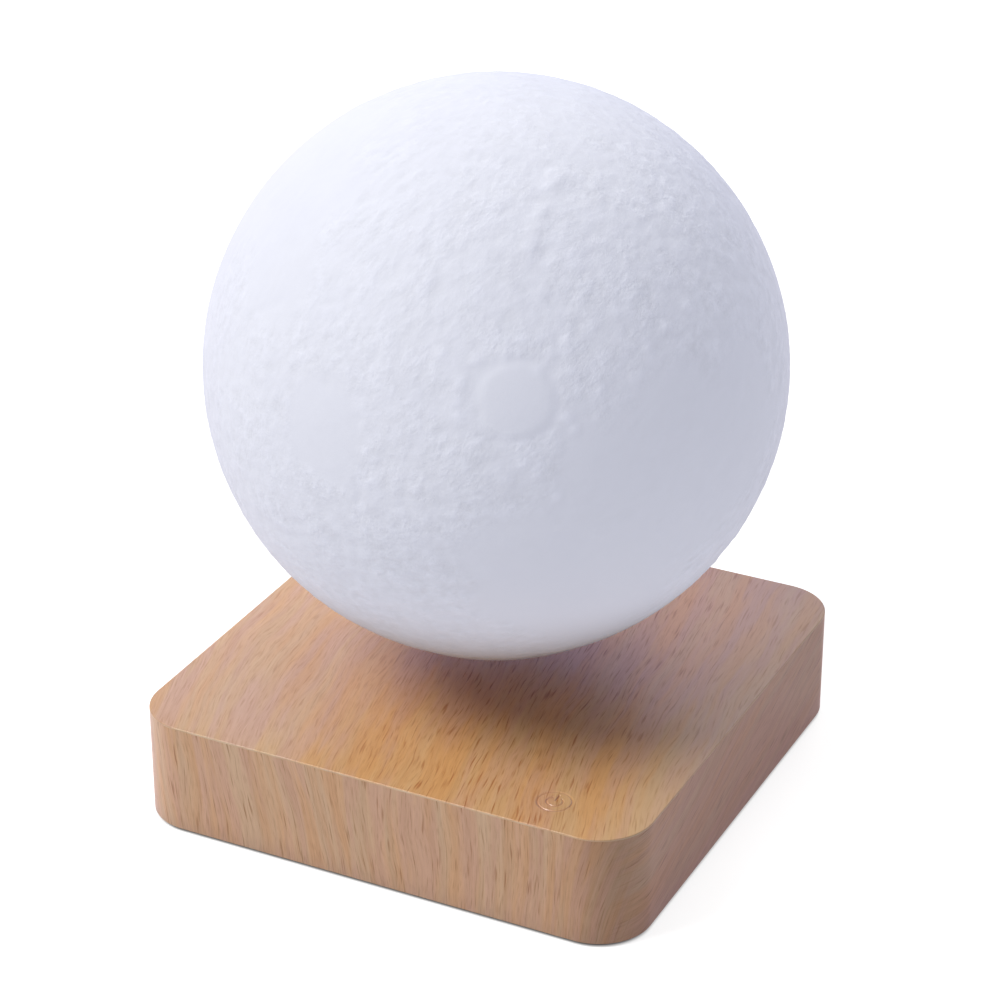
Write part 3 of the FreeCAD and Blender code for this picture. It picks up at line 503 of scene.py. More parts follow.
@dataclass(frozen=True)
class PrintedMoonFinish(Finish):
    """White printed polymer whose fine crumbly grain is drawn out along one direction on the highland.

    The glow stands for the light that soaks through the wall. It is brighter on
    the crests and darker in the hollows of the fine grain and of the small relief,
    which is painted light and shade of that relief.
    """

    colour: Colour
    shade: Colour
    glow_colour: Colour
    glow: float
    uneven: float
    swing: float
    depth: float
    run: Triple
    stretch: float

    def dress(self, graph: NodeGraph, point: Socket) -> None:
        """Adds the surface's nodes.

        Args:
            graph: the material's nodes.
            point: the point on the piece, in millimetres.
        """
        highland = graph.attribute("highland")
        length = math.sqrt(sum(part**2 for part in self.run))
        run = tuple(part / length for part in self.run)
        along = graph.add("ShaderNodeVectorMath", {0: point, 1: run}, operation="DOT_PRODUCT").outputs["Value"]
        back = graph.sum("MULTIPLY", along, 1.0 / self.stretch - 1.0)
        shift = graph.add("ShaderNodeVectorMath", {0: run, "Scale": back}, operation="SCALE").outputs[0]
        scales = graph.noise(graph.vector("ADD", point, shift), 0.42, 3.0, 0.62)
        crumbs = graph.noise(graph.press(point, (1.0, 1.0, 1.0), (11.0, 4.0, 8.0)), 0.8, 3.0, 0.6)
        patch = graph.span(graph.noise(point, 0.11, 2.0, 0.5), 0.35, 0.65, 0.45, 1.0)
        rough = graph.sum("MULTIPLY", graph.span(highland, 0.0, 1.0, 0.06, 1.0), patch)
        tilt = graph.bump(graph.sum("MULTIPLY", scales, rough), self.depth)
        tilt = graph.bump(graph.sum("MULTIPLY", crumbs, rough), self.depth * 0.5, tilt)
        tone = graph.noise(point, 0.05, 3.0, 0.6)
        # Painted light and shade of the relief: the glow rises on the crests of the fine grain (thin) and of the
        # small relief (crest), and drops in their hollows.
        painted_grain_shade = graph.sum("SUBTRACT", graph.sum("MULTIPLY_ADD", crumbs, 0.5, scales), 0.75)
        through = graph.sum("MULTIPLY_ADD", graph.sum("MULTIPLY", painted_grain_shade, rough), self.uneven, 1.0)
        through = graph.sum("MULTIPLY_ADD", graph.attribute("crest"), self.swing, through)
        glow = graph.sum("MULTIPLY", graph.sum("MULTIPLY", graph.attribute("lit"), self.glow), through)
        graph.finish(
            Base_Color=graph.mix(graph.span(tone, 0.35, 0.7), self.colour, self.shade),
            Roughness=graph.span(crumbs, 0.2, 0.8, 0.62, 0.74),
            Specular_IOR_Level=0.3,
            Emission_Color=self.glow_colour,
            Emission_Strength=glow,
            Normal=tilt,
        )


@dataclass(frozen=True)
class MouldedPlasticFinish(Finish):
    """Moulded plastic or resin with the fine pitted texture of its mould."""

    colour: Colour
    wear_and_highlight: Colour
    roughness: float
    pitch: float = 0.35
    depth: float = 0.012

    def dress(self, graph: NodeGraph, point: Socket) -> None:
        """Adds the surface's nodes.

        Args:
            graph: the material's nodes.
            point: the point on the piece, in millimetres.
        """
        pits, _ = graph.cells(point, 1.0 / self.pitch)
        cloud = graph.noise(point, 0.12, 4.0, 0.6)
        grain = graph.noise(point, 0.7 / self.pitch, 3.0, 0.6)
        relief = graph.sum("ADD", graph.span(pits, 0.05, 0.6), grain)
        graph.finish(
            Base_Color=graph.mix(graph.span(cloud, 0.35, 0.75), self.colour, self.wear_and_highlight),
            Roughness=graph.span(grain, 0.25, 0.75, self.roughness - 0.05, self.roughness + 0.07),
            Normal=graph.bump(relief, self.depth),
        )


@dataclass(frozen=True)
class MetalFinish(Finish):
    """Metal with fine turning or rolling marks and faint stains."""

    colour: Colour
    stain: Colour
    roughness: float
    marks: Triple = (1.0, 1.0, 9.0)
    metallic: float = 1.0

    def dress(self, graph: NodeGraph, point: Socket) -> None:
        """Adds the surface's nodes.

        Args:
            graph: the material's nodes.
            point: the point on the piece, in millimetres.
        """
        lines = graph.noise(graph.press(point, self.marks), 0.9, 3.0, 0.7)
        cloud = graph.noise(point, 0.25, 4.0, 0.65)
        graph.finish(
            Base_Color=graph.mix(graph.span(cloud, 0.42, 0.8), self.colour, self.stain),
            Metallic=self.metallic,
            Roughness=graph.span(lines, 0.3, 0.7, self.roughness - 0.06, self.roughness + 0.10),
            Normal=graph.bump(lines, 0.006),
        )


@dataclass(frozen=True)
class SinteredFinish(Finish):
    """Ground sintered ferrite: dark, with fine bright and dull grains and small chips."""

    colour: Colour
    grain: Colour
    roughness: float = 0.5

    def dress(self, graph: NodeGraph, point: Socket) -> None:
        """Adds the surface's nodes.

        Args:
            graph: the material's nodes.
            point: the point on the piece, in millimetres.
        """
        _, own = graph.cells(point, 2.2)
        speck = graph.add("ShaderNodeSeparateColor", {0: own}).outputs[1]
        chips = graph.noise(point, 0.8, 4.0, 0.7)
        graph.finish(
            Base_Color=graph.mix(graph.span(speck, 0.35, 0.95), self.colour, self.grain),
            Roughness=graph.span(speck, 0.0, 1.0, self.roughness - 0.12, self.roughness + 0.12),
            Normal=graph.bump(graph.span(chips, 0.3, 0.5), 0.02),
        )


@dataclass(frozen=True)
class CircuitBoardFinish(Finish):
    """Solder mask over copper tracks, which show as slightly raised paler lines, with plated holes."""

    mask: Colour
    track: Colour
    hole: Colour

    def dress(self, graph: NodeGraph, point: Socket) -> None:
        """Adds the surface's nodes.

        The tracks lie where a blocky noise crosses any of a row of levels, and the
        holes lie at scattered points.

        Args:
            graph: the material's nodes.
            point: the point on the piece, in millimetres.
        """
        blocky = graph.noise(graph.vector("SNAP", point, (0.9, 0.9, 50.0)), 0.16, 1.0, 0.4)
        level = graph.sum("FRACT", graph.sum("MULTIPLY", blocky, 9.0))
        ridge = graph.sum("ABSOLUTE", graph.sum("SUBTRACT", level, 0.5))
        track = graph.span(ridge, 0.16, 0.22, 1.0, 0.0)
        distance, own = graph.cells(graph.press(point, (1.0, 1.0, 0.01)), 0.22)
        hole = graph.span(distance, 0.07, 0.09, 1.0, 0.0)
        ring = graph.span(distance, 0.13, 0.15, 1.0, 0.0)
        colour = graph.mix(track, self.mask, self.track)
        colour = graph.mix(graph.sum("SUBTRACT", ring, hole, clamp=True), colour, self.hole)
        colour = graph.mix(hole, colour, (0.01, 0.01, 0.01))
        graph.finish(
            Base_Color=colour,
            Roughness=graph.span(track, 0.0, 1.0, 0.34, 0.28),
            Coat_Weight=0.3,
            Coat_Roughness=0.2,
            Normal=graph.bump(graph.sum("SUBTRACT", track, hole), 0.03),
        )


@dataclass(frozen=True)
class RubberFinish(Finish):
    """Soft rubber with a dull bloom and fine scuffs."""

    colour: Colour
    bloom: Colour

    def dress(self, graph: NodeGraph, point: Socket) -> None:
        """Adds the surface's nodes.

        Args:
            graph: the material's nodes.
            point: the point on the piece, in millimetres.
        """
        cloud = graph.noise(point, 0.35, 4.0, 0.65)
        scuff = graph.noise(graph.press(point, (1.0, 6.0, 1.0)), 1.4, 2.0, 0.6)
        grain = graph.noise(point, 5.0, 2.0, 0.6)
        graph.finish(
            Base_Color=graph.mix(graph.span(cloud, 0.4, 0.8), self.colour, self.bloom),
            Roughness=graph.span(scuff, 0.3, 0.7, 0.72, 0.9),
            Sheen_Weight=0.15,
            Sheen_Roughness=0.4,
            Normal=graph.bump(graph.sum("ADD", scuff, grain), 0.012),
        )


@dataclass(frozen=True)
class FibreboardFinish(Finish):
    """Raw fibreboard: short matted fibres in several browns, with cutter marks."""

    colour: Colour
    fibre: Colour

    def dress(self, graph: NodeGraph, point: Socket) -> None:
        """Adds the surface's nodes.

        Args:
            graph: the material's nodes.
            point: the point on the piece, in millimetres.
        """
        matted = graph.noise(graph.press(point, (1.0, 1.0, 3.5)), 1.1, 5.0, 0.75)
        fluff = graph.noise(point, 4.0, 3.0, 0.7)
        cutter = graph.noise(graph.press(point, (0.05, 0.05, 1.0)), 1.6, 1.0, 0.5)
        colour = graph.mix(graph.span(matted, 0.35, 0.7), self.colour, self.fibre)
        graph.finish(
            Base_Color=colour,
            Roughness=graph.span(fluff, 0.2, 0.8, 0.82, 0.95),
            Normal=graph.bump(graph.sum("ADD", graph.sum("ADD", matted, fluff), cutter), 0.05),
        )


@dataclass(frozen=True)
class WireFinish(Finish):
    """Enamelled copper wire, a little uneven in its amber tone."""

    colour: Colour
    amber: Colour

    def dress(self, graph: NodeGraph, point: Socket) -> None:
        """Adds the surface's nodes.

        Args:
            graph: the material's nodes.
            point: the point on the piece, in millimetres.
        """
        tone = graph.noise(graph.press(point, (1.0, 1.0, 4.0)), 0.6, 3.0, 0.6)
        graph.finish(
            Base_Color=graph.mix(graph.span(tone, 0.3, 0.7), self.colour, self.amber),
            Metallic=1.0,
            Roughness=graph.span(tone, 0.3, 0.7, 0.24, 0.36),
            Coat_Weight=0.5,
            Coat_Roughness=0.15,
            Normal=graph.bump(tone, 0.01),
        )


# ----------------------------------------------------------------------------------
# Meshes
# ----------------------------------------------------------------------------------
def grid_faces(rows: int, columns: int, closed: bool) -> Array:
    """The faces of a grid of points that are numbered row by row.

    Args:
        rows: the number of rows of points.
        columns: the number of points in a row.
        closed: whether the last column joins the first.

    Returns:
        Four point numbers for each face.
    """
    row, column = np.meshgrid(np.arange(rows - 1), np.arange(columns if closed else columns - 1), indexing="ij")
    after = (column + 1) % columns
    this, following = row * columns, (row + 1) * columns
    corners = [this + column, this + after, following + after, following + column]
    return np.stack(corners, axis=-1).reshape(-1, 4)


def cap_faces(loop: Array, centre: int) -> Array:
    """A fan of triangles from a closed loop to one point.

    Args:
        loop: the loop's point numbers, counter-clockwise seen from outside.
        centre: the point in the middle.

    Returns:
        Three point numbers for each face.
    """
    return np.stack([loop, np.roll(loop, -1), np.full_like(loop, centre)], axis=-1)


def zipped_faces(inner: Array, outer: Array, inner_turn: Array, outer_turn: Array) -> Array:
    """The triangles between two nested loops with different numbers of points.

    The points of both loops are taken in the order of their angles about the middle.
    Each one closes a triangle with the point before it on its own loop and the
    latest point of the other loop.

    Args:
        inner: the inner loop's point numbers, counter-clockwise.
        outer: the outer loop's point numbers, counter-clockwise.
        inner_turn: the inner points' angles.
        outer_turn: the outer points' angles.

    Returns:
        Three point numbers for each face.
    """
    inner_order, outer_order = np.argsort(inner_turn), np.argsort(outer_turn)
    inner, outer = inner[inner_order], outer[outer_order]
    turns = np.concatenate([inner_turn[inner_order], outer_turn[outer_order]])
    is_outer = np.concatenate([np.zeros(len(inner), bool), np.ones(len(outer), bool)])
    is_outer = is_outer[np.argsort(turns, kind="stable")]
    inner_now = np.cumsum(~is_outer) - 1
    outer_now = np.cumsum(is_outer) - 1
    own_inner, own_outer = inner[inner_now % len(inner)], outer[outer_now % len(outer)]
    before_inner, before_outer = inner[(inner_now - 1) % len(inner)], outer[(outer_now - 1) % len(outer)]
    from_inner = np.stack([own_inner, before_inner, own_outer], axis=-1)
    from_outer = np.stack([before_outer, own_outer, own_inner], axis=-1)
    return np.where(is_outer[:, None], from_outer, from_inner)


def rounded_square(half: float, radius: float, side_steps: int, corner_steps: int) -> Array:
    """A square outline with round corners, counter-clockwise from the front side's left end.

    Each corner is a quarter circle about its own centre, and each side is a straight
    run between two of them.

    Args:
        half: half the square's width.
        radius: the corners' radius.
        side_steps: the number of steps along a side.
        corner_steps: the number of steps round a corner.

    Returns:
        The points as rows of x and y.
    """
    straight = half - radius
    along = np.linspace(-straight, straight, side_steps + 1)
    turn = np.linspace(-math.pi / 2, 0, corner_steps + 1)[1:-1]
    side = np.stack([along, np.full_like(along, -half)], axis=-1)
    corner = np.stack([straight + radius * np.cos(turn), -straight + radius * np.sin(turn)], axis=-1)
    quarter = np.concatenate([side, corner])
    turns = [np.array([[0, 1], [-1, 0]]), np.array([[-1, 0], [0, -1]]), np.array([[0, -1], [1, 0]])]
    return np.concatenate([quarter] + [quarter @ matrix for matrix in turns])


def smooth_step(low: float, high: float, value: Array) -> Array:
    """A smooth rise from 0 to 1 between two levels.

    Args:
        low: the level where it starts.
        high: the level where it ends.
        value: the values.

    Returns:
        The risen values.
    """
    part = np.clip((value - low) / (high - low), 0.0, 1.0)
    return part * part * (3.0 - 2.0 * part)


def make_mesh(name: str, points: Array, faces: list[Array]) -> bpy.types.Object:
    """Puts a surface into the scene.

    Args:
        name: the piece's name.
        points: its points, as rows of x, y and z.
        faces: arrays of point numbers, each with its own number of corners.

    Returns:
        The object.
    """
    mesh = bpy.data.meshes.new(name)
    corners = np.concatenate([part.ravel() for part in faces]).astype(np.int32)
    sizes = np.concatenate([np.full(len(part), part.shape[1]) for part in faces]).astype(np.int32)
    starts = np.concatenate([[0], np.cumsum(sizes)[:-1]]).astype(np.int32)
    mesh.vertices.add(len(points))
    mesh.vertices.foreach_set("co", points.astype(np.float32).ravel())
    mesh.loops.add(len(corners))
    mesh.loops.foreach_set("vertex_index", corners)
    mesh.polygons.add(len(sizes))
    mesh.polygons.foreach_set("loop_start", starts)
    mesh.polygons.foreach_set("loop_total", sizes)
    mesh.polygons.foreach_set("use_smooth", np.ones(len(sizes), bool))
    mesh.update(calc_edges=True)
    mesh.validate()
    piece = bpy.data.objects.new(name, mesh)
    bpy.context.scene.collection.objects.link(piece)
    return piece


def store(piece: bpy.types.Object, name: str, values: Array) -> None:
    """Keeps one number for each vertex in the mesh, for its material.

    Args:
        piece: the piece.
        name: the attribute's name.
        values: the numbers.
    """
    layer = piece.data.attributes.new(name, "FLOAT", "POINT")
    layer.data.foreach_set("value", values.astype(np.float32))


def sharpen(piece: bpy.types.Object, degrees: float = 30.0) -> None:
    """Keeps the edges sharp where two faces meet at more than an angle."""
    piece.data.set_sharp_from_angle(angle=math.radians(degrees))


# ----------------------------------------------------------------------------------
# The moon
# ----------------------------------------------------------------------------------
@dataclass(frozen=True)
class Crater:
    """A round hollow with a raised rim, or a mound where its depth is negative. Lengths in millimetres."""

    longitude: float
    latitude: float
    radius: float
    depth: float
    rim: float = 0.0
    floor: float = 0.0


@dataclass(frozen=True)
class Furrow:
    """A long hollow along straight runs, or a ridge where its depth is negative. Lengths in millimetres."""

    places: tuple[tuple[float, float], ...]
    width: float
    depth: float


@dataclass(frozen=True)
class Plain:
    """A smooth round area, in degrees, and how much of the highland's roughness it lacks."""

    longitude: float
    latitude: float
    radius: float
    calm: float = 0.76


NAMED_CRATERS = (
    Crater(-59.7, 18.3, 9.4, -0.34, rim=-0.08, floor=0.82),
    Crater(-66.1, -1.7, 16.5, -0.10, floor=0.86),
    Crater(-76.8, 17.7, 6.2, 0.20, rim=0.08, floor=0.35),
    Crater(-35.4, 56.7, 4.6, 0.24, rim=0.09, floor=0.20),
    Crater(-52.0, 45.0, 2.4, 0.24, rim=0.06),
    Crater(-63.0, 37.3, 3.0, 0.12, rim=0.06),
    Crater(-49.0, 36.1, 4.2, 0.10, rim=0.06, floor=0.40),
    Crater(-112.1, 16.5, 1.9, 0.24),
    Crater(-105.4, 18.1, 2.4, 0.26),
    Crater(-97.7, 17.6, 1.6, 0.22),
    Crater(-109.2, 10.7, 2.0, 0.24),
    Crater(-87.5, 3.2, 2.4, 0.34),
    Crater(-19.8, 29.6, 1.9, -0.34),
    Crater(-26.5, 27.4, 1.7, -0.26),
    Crater(-32.0, 24.6, 2.0, -0.30),
    Crater(-36.1, 19.9, 2.2, -0.26),
    Crater(-43.7, 18.1, 2.0, -0.22),
    Crater(-37.3, 31.9, 1.9, -0.28),
    Crater(-52.8, 9.1, 2.1, -0.30),
    Crater(-62.2, 4.2, 2.2, -0.26),
    Crater(-41.4, 60.5, 2.6, -0.34),
)
NAMED_FURROWS = (
    Furrow(((-41.4, 60.5), (-51.4, 50.9), (-56.2, 45.2)), 1.7, -0.26),
    Furrow(((-75.0, 15.5), (-73.6, 12.6), (-68.2, 11.6), (-62.8, 11.2), (-58.3, 11.4), (-54.6, 12.8)), 1.0, 0.20),
    Furrow(((-89.3, 1.0), (-89.3, -6.5)), 1.0, 0.30),
    Furrow(((-124.0, 22.0), (-115.0, 28.5)), 1.4, 0.18),
)
PLAINS = (
    Plain(-32.0, -2.0, 24.0),
    Plain(-42.0, -24.0, 22.0, 1.0),
    Plain(-12.0, 4.0, 16.0),
    Plain(-58.0, -13.0, 11.0),
    Plain(-60.0, 18.0, 8.2, 0.80),
    Plain(-60.0, 88.0, 30.0, 0.28),
    Plain(-119.0, 33.0, 11.0),
    Plain(-97.0, 9.0, 9.0),
    Plain(-146.0, 48.0, 20.0),
    Plain(-160.0, 22.0, 16.0),
    Plain(52.0, 12.0, 24.0),
    Plain(88.0, -16.0, 17.0),
    Plain(118.0, 28.0, 20.0),
    Plain(168.0, -12.0, 15.0),
    Plain(20.0, -34.0, 14.0),
)
# Longitudes and latitudes of the small bumps round the plateau.
BUMPS = (
    ((-70.6, 18.1), (-67.4, 25.6), (-70.4, 21.7), (-61.9, 26.2), (-58.9, 26.7), (-55.6, 23.5))
    + ((-52.4, 26.4), (-49.0, 28.7), (-70.9, 15.2), (-50.4, 14.6), (-49.1, 12.6), (-58.7, 6.7))
    + ((-56.2, 4.5), (-52.7, -0.1), (-78.2, 0.9), (-81.1, -4.1), (-76.8, -4.3), (-74.5, 26.7))
)


def direction(longitude: object, latitude: object) -> Array:
    """Unit vectors towards places on the ball.

    Args:
        longitude: degrees from +X towards +Y.
        latitude: degrees above the ball's middle plane.

    Returns:
        The vectors, as rows.
    """
    turn, lift = np.radians(longitude), np.radians(latitude)
    return np.stack([np.cos(lift) * np.cos(turn), np.cos(lift) * np.sin(turn), np.sin(lift)], axis=-1)


@dataclass
class Relief:
    """The moon's heights, in millimetres, as a function of the direction from its centre.

    `swell`, `ranges` and `crumble` are layered noises, each with its height and its
    longest wave. `bump` is the radius and the height of the bumps round the plateau.
    Named hollows under `small_radius` count as small relief, whose usual height is
    `small_height`.
    """

    radius: float
    seed: int = 7
    crater_count: int = 520
    crater_sizes: tuple[float, float] = (1.1, 4.8)
    ridge_run: Triple = (0.49, 0.60, 0.63)
    ridge_stretch: float = 2.1
    swell: tuple[float, float] = (0.10, 34.0)
    ranges: tuple[float, float] = (0.12, 6.0)
    crumble: tuple[float, float] = (0.12, 4.0)
    bump: tuple[float, float] = (1.7, 0.42)
    small_radius: float = 3.0
    small_height: float = 0.14
    gradients: Array = field(init=False)

    def __post_init__(self) -> None:
        """Draws the noise's gradients."""
        drawn = np.random.default_rng(self.seed).normal(size=(256, 3))
        self.gradients = drawn / np.linalg.norm(drawn, axis=1, keepdims=True)

    def noise(self, points: Array, layer: int) -> Array:
        """Smooth noise of about -0.7 to 0.7.

        Each corner of a cubic lattice has its own slope. A point takes the heights of
        the eight slopes round it, weighted by a quintic fade.

        Args:
            points: the points, in lattice steps.
            layer: a number that picks one noise of many.

        Returns:
            The noise at each point.
        """
        cell = np.floor(points).astype(np.int64)
        part = points - cell
        fade = part**3 * (part * (part * 6.0 - 15.0) + 10.0)
        total = np.zeros(len(points))
        for corner in np.ndindex(2, 2, 2):
            key = (cell + corner) * np.array([73856093, 19349663, 83492791])
            mixed = (key[:, 0] ^ key[:, 1] ^ key[:, 2]) + layer * 2654435761
            mixed = (mixed ^ (mixed >> 13)) * 1274126177
            slope = self.gradients[(mixed ^ (mixed >> 16)) & 255]
            weight = np.prod(np.where(corner, fade, 1.0 - fade), axis=1)
            total += weight * np.sum(slope * (part - corner), axis=1)
        return total

    def layered(self, points: Array, wave: float, layers: int, layer: int, ridged: bool = False) -> Array:
        """Noise at several sizes, each half as long and half as high as the last.

        Args:
            points: the points, in millimetres.
            wave: the longest wave, in millimetres.
            layers: the number of sizes.
            layer: a number that picks one noise of many.
            ridged: whether the noise is folded into sharp crests.

        Returns:
            The sum, of about -1 to 1.
        """
        total, share = np.zeros(len(points)), 1.0
        for step in range(layers):
            drawn = self.noise(points / wave * 2.0**step + 17.3 * step, layer + step)
            total += share * ((0.5 - 3.0 * np.abs(drawn)) if ridged else 1.6 * drawn)
            share *= 0.55
        return total

    def smoothness(self, towards: Array) -> Array:
        """How much of a plain each place is, from 0 on the highland to 1.

        Args:
            towards: unit vectors.

        Returns:
            The shares.
        """
        wander = 0.30 * self.layered(towards * self.radius, 22.0, 3, 40)
        total = np.zeros(len(towards))
        for plain in PLAINS:
            middle = direction(plain.longitude, plain.latitude)
            apart = np.degrees(np.arccos(np.clip(towards @ middle, -1.0, 1.0)))
            total = np.maximum(total, plain.calm * smooth_step(-0.18, 0.22, 1.0 - apart / plain.radius + wander))
        return total

    def bowls(self, towards: Array, craters: list[Crater]) -> Array:
        """The heights of round hollows.

        Inside the floor's share of the radius a hollow is flat. From there it rises as
        the square of the distance, up to a rim that falls off like a bell on both
        sides.

        Args:
            towards: unit vectors.
            craters: the hollows.

        Returns:
            The heights.
        """
        total = np.zeros(len(towards))
        for start in range(0, len(craters), 40):
            group = craters[start : start + 40]
            size = np.array([item.radius for item in group])
            depth = np.array([item.depth for item in group])
            rim = np.array([item.rim for item in group])
            floor = np.array([item.floor for item in group])
            middles = direction([item.longitude for item in group], [item.latitude for item in group])
            apart = np.arccos(np.clip(towards @ middles.T, -1.0, 1.0)) * self.radius / size
            rise = np.clip((apart - floor) / (1.0 - floor), 0.0, 1.0) ** 2
            hollow = -depth * (1.0 - rise)
            crest = rim * np.exp(-(((apart - 1.0) / np.where(apart < 1.0, 0.16, 0.30)) ** 2))
            total += np.sum(np.where(apart < 2.6, hollow + crest, 0.0), axis=1)
        return total

    def scattered(self) -> list[Crater]:
        """Craters of many sizes at random places, small ones far oftener than large ones.

        Returns:
            The craters.
        """
        draw = np.random.default_rng(self.seed + 1)
        small, large = self.crater_sizes
        size = small * (1.0 - draw.random(self.crater_count) * (1.0 - (small / large) ** 1.9)) ** (-1.0 / 1.9)
        longitude = draw.uniform(-180.0, 180.0, self.crater_count)
        latitude = np.degrees(np.arcsin(draw.uniform(-0.86, 1.0, self.crater_count)))
        depth = size * draw.uniform(0.018, 0.045, self.crater_count)
        rim = depth * draw.uniform(0.25, 0.6, self.crater_count)
        floor = np.where(size > 4.0, 0.45, 0.0)
        return [Crater(*map(float, row)) for row in zip(longitude, latitude, size, depth, rim, floor)]

    def furrow(self, towards: Array, item: Furrow) -> Array:
        """The height of a long hollow, which falls off like a bell on both sides.

        Args:
            towards: unit vectors.
            item: the hollow.

        Returns:
            The heights.
        """
        nearest = np.full(len(towards), 1e9)
        stops = direction(*np.array(item.places).T) * self.radius
        for first, second in zip(stops, stops[1:]):
            run = second - first
            part = np.clip((towards * self.radius - first) @ run / (run @ run), 0.0, 1.0)
            gap = np.linalg.norm(towards * self.radius - first - part[:, None] * run, axis=1)
            nearest = np.minimum(nearest, gap)
        return -item.depth * np.exp(-((nearest / item.width) ** 2))

    def heights(self, towards: Array) -> tuple[Array, Array, Array]:
        """The whole relief.

        Args:
            towards: unit vectors.

        Returns:
            The heights, how rough each place is, from 0 to 1, and how far each place
            stands out of or lies in the small relief round it, of about -2 to 2.
        """
        places = towards * self.radius
        run = np.array(self.ridge_run) / np.linalg.norm(self.ridge_run)
        drawn_out = places - (1.0 - 1.0 / self.ridge_stretch) * (places @ run)[:, None] * run
        warp = np.stack([self.layered(places, 14.0, 2, 50 + 5 * axis) for axis in range(3)], axis=-1)
        rough = 1.0 - self.smoothness(towards)
        swell = self.swell[0] * self.layered(places, self.swell[1], 2, 10)
        ranges = self.ranges[0] * self.layered(drawn_out + 1.4 * warp, self.ranges[1], 3, 20, ridged=True)
        crumble = self.crumble[0] * self.layered(places + 0.8 * warp, self.crumble[1], 2, 30, ridged=True)
        pocked = self.bowls(towards, self.scattered())
        small = rough * (ranges + crumble) + (0.25 + 0.75 * rough) * pocked
        mounds = self.bowls(towards, [Crater(*place, self.bump[0], -self.bump[1]) for place in BUMPS])
        height = swell + small
        height += self.bowls(towards, list(NAMED_CRATERS))
        height += mounds
        for item in NAMED_FURROWS:
            height += self.furrow(towards, item)
        small_ones = [item for item in NAMED_CRATERS if item.radius < self.small_radius]
        small += mounds + self.bowls(towards, small_ones)
        return height, rough, small / self.small_height


MOON_PRINT = PrintedMoonFinish(
    "moon_print",
    colour=(0.465, 0.465, 0.465),
    shade=(0.452, 0.452, 0.456),
    glow_colour=(0.785, 0.816, 1.0),
    glow=0.483,
    # uneven and swing set how much painted light and shade of the relief the glow carries.
    uneven=0.44,
    swing=0.026,
    depth=0.38,
    run=Relief.ridge_run,
    stretch=Relief.ridge_stretch,
)


